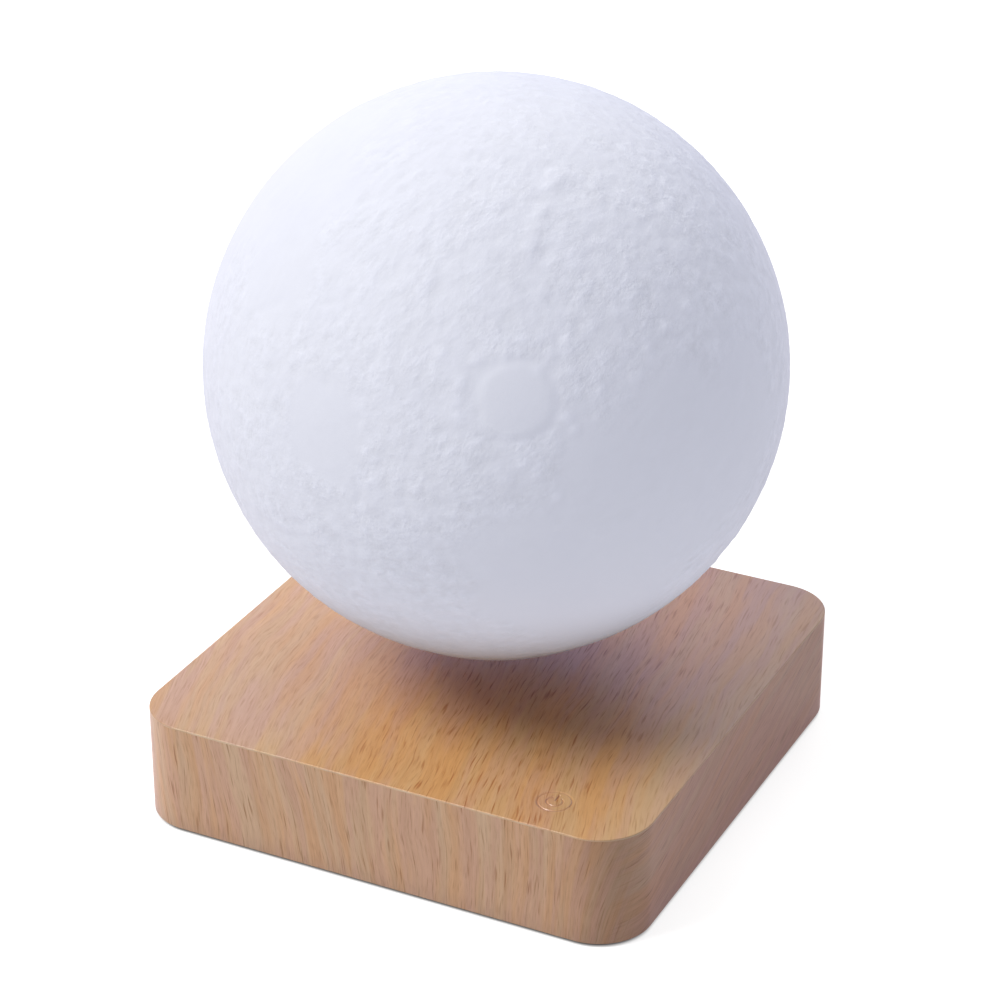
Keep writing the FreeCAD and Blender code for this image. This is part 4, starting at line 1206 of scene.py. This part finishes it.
@dataclass
class Moon:
    """The printed ball: a relief outside, and a rebated mouth with a collar below. Lengths in metres."""

    columns: int = 400
    rows: int = 216
    inner_rows: int = 14
    wall: float = 1.6 * MM
    rebate_width: float = 2.4 * MM
    rebate_depth: float = 2.0 * MM
    ledge: float = 2.2 * MM
    collar_wall: float = 2.2 * MM
    collar_height: float = 9.6 * MM
    seam: float = 0.2 * MM
    sink: float = 0.35 * MM
    deepest: float = 1.1 * MM
    fade: float = 5.0 * MM

    def shine(self, rise: Array) -> Array:
        """How much of the light that has soaked into the ball comes out at each height.

        It fades towards the mouth, which is painted shade on the ball's underside.

        Args:
            rise: the sine of each place's latitude.

        Returns:
            The shares.
        """
        latitude = np.degrees(np.arcsin(np.clip(rise, -1.0, 1.0)))
        return 0.08 + 0.92 * smooth_step(-62.0, -28.0, latitude)

    def turned(self, reach: Array, rise: Array) -> Array:
        """A profile turned round the upright axis, as a grid of points with one column for each meridian.

        Args:
            reach: the profile's distances from the axis.
            rise: its heights.

        Returns:
            The points.
        """
        turn = self.meridians()
        sides = [np.outer(reach, np.cos(turn)), np.outer(reach, np.sin(turn)), np.outer(rise, np.ones_like(turn))]
        return np.stack(sides, axis=-1).reshape(-1, 3)

    def meridians(self) -> Array:
        """The meridians' angles."""
        return np.linspace(0.0, 2 * math.pi, self.columns, endpoint=False)

    def outside(self, radius: float, mouth: float) -> tuple[Array, dict[str, Array]]:
        """The outer wall's points, from the top down to the mouth, and what the material reads there.

        Their distance from the centre is the ball's radius less a margin, plus the
        relief, and both fade out towards the mouth.

        Args:
            radius: the ball's radius.
            mouth: the mouth's radius.

        Returns:
            The points, and their attributes by name.
        """
        last = math.pi - math.asin(mouth / radius)
        polar = np.linspace(0.0, last, self.rows + 1)[1:]
        down, round_about = np.meshgrid(polar, self.meridians(), indexing="ij")
        towards = direction(np.degrees(round_about), 90.0 - np.degrees(down)).reshape(-1, 3)
        towards = np.concatenate([[[0.0, 0.0, 1.0]], towards])
        height, rough, crest = Relief(radius / MM).heights(towards)
        from_mouth = (last - np.concatenate([[0.0], down.ravel()])) * radius
        hold = smooth_step(0.0, self.fade, from_mouth)
        height = np.clip(height * MM - self.sink, -self.deepest, 0.0) * hold
        read = {"highland": rough * hold, "crest": crest * hold, "lit": self.shine(towards[:, 2])}
        return towards * (radius + height)[:, None], read

    def inside(self, radius: float, mouth: float) -> Array:
        """The inner wall's points, up to just under its highest one.

        The turned profile runs in along the rebate, up the bore, over the collar, down
        to the ledge and up the plain wall.

        Args:
            radius: the ball's radius.
            mouth: the mouth's radius.

        Returns:
            The points.
        """
        inner = radius - self.wall
        ledge_under = self.rebate_depth - math.sqrt(radius**2 - mouth**2)
        ledge_top = ledge_under + self.ledge
        collar_top = ledge_under + self.collar_height
        bore = mouth - self.rebate_width
        collar = bore + self.collar_wall
        start = math.atan2(ledge_top, math.sqrt(inner**2 - ledge_top**2))
        lift = np.linspace(start, math.pi / 2, self.inner_rows + 1)[:-1]
        reach = np.concatenate([[mouth, bore, bore, collar, collar], inner * np.cos(lift)])
        rise = np.concatenate([[ledge_under, ledge_under, collar_top, collar_top, ledge_top], inner * np.sin(lift)])
        return self.turned(reach, rise)

    def build(self) -> bpy.types.Object:
        """Makes the ball: one closed grid over the outside, through the mouth and over the inside.

        Returns:
            The piece.
        """
        low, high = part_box("moon_shell")
        cup_low, cup_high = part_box("float_cup")
        radius = (high.x - low.x) / 2
        mouth = (cup_high.x - cup_low.x) / 2 + self.seam
        outside, read = self.outside(radius, mouth)
        points = np.concatenate([outside, self.inside(radius, mouth), [[0.0, 0.0, radius - self.wall]]])
        points[:, 2] += high.z - radius

        rows = (len(points) - 2) // self.columns
        around = grid_faces(rows, self.columns, closed=True)[:, ::-1] + 1
        first_row = np.arange(self.columns) + 1
        last_row = first_row + (rows - 1) * self.columns
        top = cap_faces(first_row, 0)
        roof = cap_faces(last_row[::-1], len(points) - 1)
        piece = make_mesh("moon_ball", points, [around, top, roof])
        for name, values in read.items():
            store(piece, name, np.concatenate([values, np.zeros(len(points) - len(values))]))
        sharpen(piece, 45.0)
        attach(piece, "moon")
        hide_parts("moon_shell")
        piece.data.materials.append(MOON_PRINT.material())
        return piece


# ----------------------------------------------------------------------------------
# The wooden base
# ----------------------------------------------------------------------------------
TOP_WOOD = WoodFinish(
    "wood_top",
    Grain.FRONT_TO_BACK,
    pale=(0.760, 0.460, 0.200),
    warm=(0.785, 0.415, 0.140),
    rosy=(0.740, 0.415, 0.218),
    # Painted sheen on the top's left, painted shade on its right.
    dull=(0.88, 0.96, 1.06),
    deep=(0.60, 0.35, 0.12),
    flecks=(Flecks(0.62, 9.0, 0.59, 0.85), Flecks(0.46, 6.0, 0.57, 0.36), Flecks(0.34, 3.4, 0.56, 0.16)),
    streak_width=2.2,
    streak=0.16,
    fibre=0.14,
    # Painted highlight along the top's edge.
    edge=(0.84, 0.66, 0.44),
    edge_height=31.5 * MM,
)
SIDE_WOOD = WoodFinish(
    "wood_side",
    Grain.UPRIGHT,
    pale=(0.785, 0.540, 0.340),
    warm=(0.810, 0.485, 0.255),
    rosy=(0.790, 0.492, 0.335),
    # Painted shade on the side faces.
    dull=(0.86, 0.82, 0.80),
    deep=(0.54, 0.37, 0.22),
    flecks=(Flecks(0.55, 9.0, 0.61, 0.70), Flecks(0.44, 5.0, 0.59, 0.32), Flecks(0.32, 3.0, 0.57, 0.16)),
    streak_width=1.8,
    streak=0.20,
    fibre=0.14,
)


@dataclass
class TouchMark:
    """The engraved mark over the touch sensor: a ring with the usual sign for a power switch in it."""

    x: float = 45.4 * MM
    y: float = -58.8 * MM
    ring: float = 4.25 * MM
    arc: float = 2.05 * MM
    opening: float = 36.0
    stroke_start: float = 0.5 * MM
    stroke_end: float = 2.9 * MM
    line: float = 0.52 * MM
    depth: float = 0.20 * MM
    inner: float = 0.24 * MM
    outer: float = 0.66 * MM
    patch: float = 5.4 * MM
    cell: float = 0.09 * MM

    def grooves(self, points: Array) -> Array:
        """How deep the engraving is at each point, from 0 to 1.

        The distance to the nearest line, of the open arc and the straight stroke, is
        turned into a groove with soft sides. The ring's groove is steep on the inside
        and gentle on the outside.

        Args:
            points: rows of x and y from the mark's middle.

        Returns:
            The shares of the full depth.
        """
        reach = np.linalg.norm(points, axis=1)
        beside = reach - self.ring
        ring = 1.0 - smooth_step(0.0, 1.0, np.where(beside < 0.0, -beside / self.inner, beside / self.outer))
        open_half = math.radians(self.opening)
        turn = np.arctan2(points[:, 0], points[:, 1])
        end = np.stack([self.arc * np.sin(open_half), self.arc * np.cos(open_half)])
        mirrored = np.stack([np.abs(points[:, 0]), points[:, 1]], axis=-1)
        arc = np.where(np.abs(turn) > open_half, np.abs(reach - self.arc), np.linalg.norm(mirrored - end, axis=1))
        along = np.clip(points[:, 1], self.stroke_start, self.stroke_end)
        stroke = np.hypot(points[:, 0], points[:, 1] - along)
        return np.maximum(ring, 1.0 - smooth_step(self.line * 0.18, self.line * 0.62, np.minimum(arc, stroke)))


@dataclass
class WoodenBase:
    """The veneers of the base. Lengths in metres.

    `foot_middle` is the share of the lower edge's easing that its middle point is
    drawn in, and lifted.
    """

    corner: float = 14.5 * MM
    ease: float = 0.25 * MM
    ease_steps: int = 4
    side_steps: int = 28
    corner_steps: int = 26
    foot_ease: float = 0.2 * MM
    foot_middle: float = 0.29
    thickness: float = 0.5 * MM
    inlet_radius: float = 4.8 * MM
    inlet_columns: int = 2
    inlet_steps: int = 72
    mark: TouchMark = field(default_factory=TouchMark)

    def build(self) -> list[bpy.types.Object]:
        """Makes both veneers.

        Returns:
            The pieces.
        """
        return [self.top_sheet(), self.side_band()]

    def ring(self, half: float, inset: float, height: float) -> Array:
        """One ring of points: the base's outline, drawn in a little, at a height.

        Args:
            half: half the base's width.
            inset: how far it is drawn in.
            height: its height.

        Returns:
            The points.
        """
        flat = rounded_square(half - inset, self.corner - inset, self.side_steps, self.corner_steps)
        return np.column_stack([flat, np.full(len(flat), height)])

    def top_sheet(self) -> bpy.types.Object:
        """Makes the sheet on the top.

        A fine square grid round the mark carries the engraving. It is zipped to the
        outline, whose edge is rounded by a quarter circle, and the underside is a fan.

        Returns:
            The piece.
        """
        low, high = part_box("top_veneer")
        half = (high.x - low.x) / 2
        steps = 2 * round(self.mark.patch / self.mark.cell)
        line = np.linspace(-self.mark.patch, self.mark.patch, steps + 1)
        across, along = np.meshgrid(line, line, indexing="ij")
        local = np.stack([across.ravel(), along.ravel()], axis=-1)
        groove = self.mark.grooves(local)
        patch = np.column_stack([local + (self.mark.x, self.mark.y), high.z - self.mark.depth * groove])
        numbers = np.arange(len(patch)).reshape(steps + 1, steps + 1)
        rim = np.concatenate([numbers[:-1, 0], numbers[-1, :-1], numbers[:0:-1, -1], numbers[0, :0:-1]])

        rings = [
            self.ring(half, self.ease * (1.0 - math.sin(turn)), high.z - self.ease * (1.0 - math.cos(turn)))
            for turn in np.linspace(0.0, math.pi / 2, self.ease_steps + 1)
        ]
        rings.append(self.ring(half, 0.0, low.z))
        size = len(rings[0])
        points = np.concatenate([patch] + rings + [[[0.0, 0.0, low.z]]])
        outline = np.arange(size) + len(patch)
        middle = np.array([self.mark.x, self.mark.y])
        inner_turn = np.arctan2(*(points[rim, :2] - middle).T[::-1])
        outer_turn = np.arctan2(*(points[outline, :2] - middle).T[::-1])
        flat = zipped_faces(rim, outline, inner_turn, outer_turn)
        fine = grid_faces(steps + 1, steps + 1, closed=False)[:, ::-1]
        edge = grid_faces(len(rings), size, closed=True)[:, ::-1] + len(patch)
        under = cap_faces((outline + (len(rings) - 1) * size)[::-1], len(points) - 1)
        piece = make_mesh("top_sheet", points, [fine, flat, edge, under])
        store(piece, "engraving", np.concatenate([groove, np.zeros(len(points) - len(patch))]))
        sharpen(piece, 40.0)
        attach(piece, "base")
        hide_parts("top_veneer")
        piece.data.materials.append(TOP_WOOD.material())
        return piece

    def side_band(self) -> bpy.types.Object:
        """Makes the band round the sides.

        A closed profile, up the outside, over the rim and down the inside, is carried
        round the outline. Its lowest points are drawn in to ease the lower edge. In the
        back, a window in each wall is zipped to the round hole for the inlet, and a
        short tube joins the two holes. The map unrolls the band: the distance round the
        outline, and the height.

        Returns:
            The piece.
        """
        low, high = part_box("side_veneer")
        pin_low, pin_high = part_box("dc_jack_pin")
        half = (high.x - low.x) / 2
        axis = (pin_low.z + pin_high.z) / 2
        window = 2 * (half - self.corner) / self.side_steps * self.inlet_columns
        heights = [axis - window, axis + window, high.z]
        ease = self.foot_middle * self.foot_ease
        profile = [(self.foot_ease, low.z), (ease, low.z + ease), (0.0, low.z + self.foot_ease)]
        profile += [(0.0, height) for height in heights]
        profile += [(self.thickness, height) for height in heights[::-1]] + [(self.thickness, low.z)]
        outer_row, inner_row = profile.index((0.0, heights[0])), profile.index((self.thickness, heights[1]))
        rings = [self.ring(half, *place) for place in profile]
        size = len(rings[0])
        band = np.concatenate(rings)
        faces = grid_faces(len(rings) + 1, size, closed=True)
        row, column = faces[:, 0] // size, faces[:, 0] % size
        back = 2 * (self.side_steps + self.corner_steps) + self.side_steps // 2
        first, last = back - self.inlet_columns, back + self.inlet_columns
        faces = faces[~(np.isin(row, (outer_row, inner_row)) & (column >= first) & (column < last))] % len(band)

        turn = np.linspace(0.0, 2 * math.pi, self.inlet_steps, endpoint=False)
        circle = np.stack([np.cos(turn), np.zeros_like(turn), np.sin(turn)], axis=-1) * self.inlet_radius
        sides, holes = [], []
        for row, depth in ((outer_row, 0.0), (inner_row, self.thickness)):
            holes.append(circle + (0.0, half - depth, axis))
            loop = np.arange(self.inlet_steps) + len(band) + len(sides) * self.inlet_steps
            edge = np.arange(first, last + 1)
            frame_loop = np.concatenate([edge + row * size, (edge + (row + 1) * size)[::-1]])
            frame_turn = np.arctan2(band[frame_loop, 2] - axis, band[frame_loop, 0])
            joined = zipped_faces(loop, frame_loop, np.arctan2(np.sin(turn), np.cos(turn)), frame_turn)
            sides.append(joined if depth else joined[:, ::-1])
        outer = np.arange(self.inlet_steps) + len(band)
        after = np.roll(outer, -1)
        tube = np.stack([outer, outer + self.inlet_steps, after + self.inlet_steps, after], axis=-1)
        points = np.concatenate([band] + holes)
        piece = make_mesh("side_band", points, [faces] + sides + [tube])

        steps = np.linalg.norm(np.diff(rings[2][:, :2], axis=0, append=rings[2][:1, :2]), axis=1)
        run = np.concatenate([[0.0], np.cumsum(steps)])
        across = np.concatenate([np.tile(run[:-1], len(rings))] + [run[back] - hole[:, 0] for hole in holes])
        corners = across[faces]
        closing = faces[:, 0] % size == size - 1
        corners[closing] = np.where(corners[closing] == 0.0, run[-1], corners[closing])
        round_about = np.concatenate([corners.ravel()] + [across[part].ravel() for part in sides + [tube]])
        numbers = np.concatenate([part.ravel() for part in [faces] + sides + [tube]])
        strip = np.stack([round_about, points[numbers, 2]], axis=-1)
        piece.data.uv_layers.new(name="strip").data.foreach_set("uv", strip.astype(np.float32).ravel())
        sharpen(piece, 40.0)
        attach(piece, "base")
        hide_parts("side_veneer")
        piece.data.materials.append(SIDE_WOOD.material())
        return piece


# ----------------------------------------------------------------------------------
# Finishes of the solids that keep their own shape
# ----------------------------------------------------------------------------------
PLATED_HOLE = (0.62, 0.52, 0.26)
FITTING_FINISHES = (
    FibreboardFinish("fibreboard", (0.30, 0.19, 0.11), (0.42, 0.29, 0.18)),
    MouldedPlasticFinish("black_plastic", (0.022, 0.022, 0.024), (0.030, 0.030, 0.033), 0.55),
    MouldedPlasticFinish("tray_plastic", (0.045, 0.045, 0.05), (0.06, 0.06, 0.065), 0.6),
    RubberFinish("foot_rubber", (0.022, 0.022, 0.022), (0.045, 0.044, 0.042)),
    MetalFinish("screw_steel", (0.16, 0.16, 0.17), (0.10, 0.10, 0.105), 0.38),
    MetalFinish("core_steel", (0.50, 0.50, 0.51), (0.36, 0.35, 0.34), 0.34),
    SinteredFinish("magnet_ferrite", (0.035, 0.035, 0.038), (0.075, 0.075, 0.08)),
    MetalFinish("magnet_nickel", (0.70, 0.68, 0.63), (0.58, 0.56, 0.51), 0.18),
    WireFinish("coil_copper", (0.72, 0.27, 0.10), (0.60, 0.19, 0.06)),
    MouldedPlasticFinish("bobbin_nylon", (0.70, 0.67, 0.56), (0.64, 0.60, 0.49), 0.45),
    CircuitBoardFinish("board_laminate", (0.006, 0.06, 0.022), (0.012, 0.11, 0.04), PLATED_HOLE),
    CircuitBoardFinish("white_board", (0.72, 0.73, 0.71), (0.64, 0.65, 0.63), PLATED_HOLE),
    MouldedPlasticFinish("chip_resin", (0.016, 0.016, 0.018), (0.024, 0.024, 0.026), 0.5, 0.12, 0.006),
    SinteredFinish("ferrite_sheet", (0.028, 0.028, 0.032), (0.05, 0.05, 0.055), 0.6),
    MetalFinish("capacitor_can", (0.62, 0.63, 0.66), (0.52, 0.53, 0.56), 0.26),
    RubberFinish("lead_jacket", (0.34, 0.018, 0.014), (0.40, 0.04, 0.03)),
    MouldedPlasticFinish("jack_plastic", (0.018, 0.018, 0.018), (0.026, 0.026, 0.027), 0.32, 0.5, 0.006),
    MetalFinish("pin_metal", (0.76, 0.73, 0.66), (0.66, 0.63, 0.56), 0.2),
    MetalFinish("copper_foil", (0.78, 0.36, 0.20), (0.58, 0.24, 0.12), 0.32),
    MouldedPlasticFinish("cup_plastic", (0.80, 0.82, 0.88), (0.77, 0.79, 0.86), 0.5, 0.4, 0.008),
    MouldedPlasticFinish("led_lens", (0.85, 0.70, 0.24), (0.88, 0.78, 0.40), 0.3, 0.6, 0.01),
)


@dataclass
class Fittings:
    """The solids of the base and of the float that are shown as they are, each with its slot's finish."""

    finishes: tuple[Finish, ...] = FITTING_FINISHES

    def build(self) -> list[bpy.types.Object]:
        """Gives every solid that is still shown its finish.

        Returns:
            The dressed solids.
        """
        by_slot = {finish.name: finish for finish in self.finishes}
        made: dict[str, bpy.types.Material] = {}
        dressed = []
        shown = {piece.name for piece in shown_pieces()}
        for part in frame["record"]["subparts"]:
            node, slot = part["node"], part["material_slot"]
            if node not in shown or slot not in by_slot:
                continue
            if slot not in made:
                made[slot] = by_slot[slot].material()
            piece = frame["nodes"][node]
            for place in piece.material_slots:
                place.material = made[slot]
            dressed.append(piece)
        return dressed


# ----------------------------------------------------------------------------------
# The studio
# ----------------------------------------------------------------------------------
@dataclass(frozen=True)
class Lamp:
    """A round soft lamp: its place and width in metres, its power in watts, and whether gloss mirrors it."""

    name: str
    place: Triple
    size: float
    power: float
    mirrored: bool = False


@dataclass
class Studio:
    """A white floor, a white surround, three large soft lamps and the camera. Lengths in metres.

    The floor's glow starts within `contact` of the base's outline, and rises to plain
    white over the distances of `fade`.
    """

    camera_place: Triple = (0.32174, -0.64431, 0.44501)
    camera_target: Triple = (0.001065, 0.0, 0.077991)
    lens: float = 111.6
    sensor: float = 36.0
    aim: Triple = (0.0, 0.0, 0.08)
    floor_size: float = 12.0
    surround: Colour = (0.160, 0.160, 0.160)
    mirrored_surround: Colour = (0.48, 0.53, 0.95)
    mirrored_floor: Colour = (0.380, 0.230, 0.244)
    floor_white: float = 0.81
    floor_grey: tuple[float, float] = (0.54, 0.56)
    contact: tuple[float, float] = (-1.7 * MM, 0.3 * MM)
    fade: tuple[float, float] = (0.25, 0.8)
    lamps: tuple[Lamp, ...] = (
        Lamp("key", (-0.835, -0.765, 1.430), 0.8, 23.2, mirrored=True),
        Lamp("back_right", (0.000, 1.230, 1.317), 0.9, 8.4),
        Lamp("back_left", (-0.897, 0.852, 1.317), 0.9, 5.4),
    )

    def build(self) -> None:
        """Makes the camera, the world, the lamps and the floor."""
        self.camera()
        self.world()
        for lamp in self.lamps:
            self.lamp(lamp)
        self.floor()
        bpy.context.scene.view_settings.view_transform = "Standard"

    def camera(self) -> None:
        """Puts the camera where the picture was taken from."""
        data = bpy.data.cameras.new("camera")
        data.lens = self.lens
        data.sensor_width = self.sensor
        data.clip_start, data.clip_end = 0.01, 100.0
        camera = bpy.data.objects.new("camera", data)
        bpy.context.scene.collection.objects.link(camera)
        place, target = np.array(self.camera_place), np.array(self.camera_target)
        camera.location = place
        camera.rotation_mode = "QUATERNION"
        camera.rotation_quaternion = Vector(target - place).to_track_quat("-Z", "Y")
        bpy.context.scene.camera = camera

    def chosen(self, graph: NodeGraph, mirrored: Colour, lit: Colour) -> Socket:
        """Picks a colour by the kind of ray: white where it is seen, and softer in mirrors and as light.

        Args:
            graph: the nodes to add to.
            mirrored: the colour for a ray from a glossy surface.
            lit: the colour for all other rays.

        Returns:
            The colour.
        """
        ray = graph.add("ShaderNodeLightPath", {}).outputs
        straight = graph.sum("MAXIMUM", ray["Is Camera Ray"], ray["Is Transmission Ray"])
        return graph.mix(straight, graph.mix(ray["Is Glossy Ray"], lit, mirrored), WHITE)

    def world(self) -> None:
        """White where it is seen, and softer where it lights the object."""
        world = bpy.data.worlds.new("surround")
        bpy.context.scene.world = world
        graph = NodeGraph(world, "ShaderNodeOutputWorld")
        colour = self.chosen(graph, self.mirrored_surround, self.surround)
        graph.close(graph.add("ShaderNodeBackground", {"Color": colour}))

    def lamp(self, lamp: Lamp) -> None:
        """Hangs one lamp.

        Args:
            lamp: the lamp.
        """
        data = bpy.data.lights.new(lamp.name, "AREA")
        data.shape = "DISK"
        data.size = lamp.size
        data.energy = lamp.power
        holder = bpy.data.objects.new(lamp.name, data)
        bpy.context.scene.collection.objects.link(holder)
        holder.location = lamp.place
        holder.visible_glossy = lamp.mirrored
        towards = Vector(self.aim) - Vector(lamp.place)
        holder.rotation_euler = towards.to_track_quat("-Z", "Y").to_euler()

    def paper(self) -> bpy.types.Material:
        """The floor's material: soft white that turns plain white far away and is dark under the base.

        It is a grey surface, which takes the object's shadow, and a glow on top of it.
        The glow depends on the distance from the base's outline. That distance is the
        length of the part of (|x|, |y|) beyond the middles of the round corners, less
        the corners' radius.

        Returns:
            The material.
        """
        graph = NodeGraph(bpy.data.materials.new("floor_paper"))
        point = graph.place()
        grey = graph.span(graph.noise(point, 0.02, 2.0, 0.5), 0.3, 0.7, *self.floor_grey)
        paper = graph.add("ShaderNodeBsdfDiffuse", {"Color": graph.mix(grey, BLACK, WHITE)})
        mirrored = tuple(part / self.floor_white for part in self.mirrored_floor)
        colour = self.chosen(graph, mirrored, BLACK)
        low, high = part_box("side_veneer")
        reach = ((high.x - low.x) / 2 - WoodenBase.corner) / MM
        beyond = graph.vector("SUBTRACT", graph.vector("ABSOLUTE", point), (reach, reach, 0.0))
        beyond = graph.vector("MAXIMUM", beyond)
        length = graph.add("ShaderNodeVectorMath", {0: beyond}, operation="LENGTH").outputs["Value"]
        near, far = ((WoodenBase.corner + part) / MM for part in self.contact)
        away = graph.span(length, *(part / MM for part in self.fade), 0.0, 1.0 - self.floor_white)
        strength = graph.sum("ADD", graph.span(length, near, far, 0.0, self.floor_white), away)
        glow = graph.add("ShaderNodeEmission", {"Color": colour, "Strength": strength})
        graph.close(graph.add("ShaderNodeAddShader", {0: paper.outputs[0], 1: glow.outputs[0]}))
        return graph.owner

    def floor(self) -> None:
        """Lays the floor."""
        half = self.floor_size / 2
        points = np.array([[-half, -half, 0.0], [half, -half, 0.0], [half, half, 0.0], [-half, half, 0.0]])
        floor = make_mesh("floor", points, [np.array([[0, 1, 2, 3]])])
        floor.data.materials.append(self.paper())
        floor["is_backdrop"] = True


def main() -> None:
    """Builds every sub-assembly in order."""
    logging.basicConfig(level=logging.INFO, format="%(name)s: %(message)s")
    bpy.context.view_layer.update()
    pieces = [Moon().build()]
    pieces += WoodenBase().build()
    pieces += Fittings().build()
    for piece in pieces:
        LOG.info("%s: %d faces", piece.name, len(piece.data.polygons))
    Studio().build()


if __name__ == "__main__":
    main()
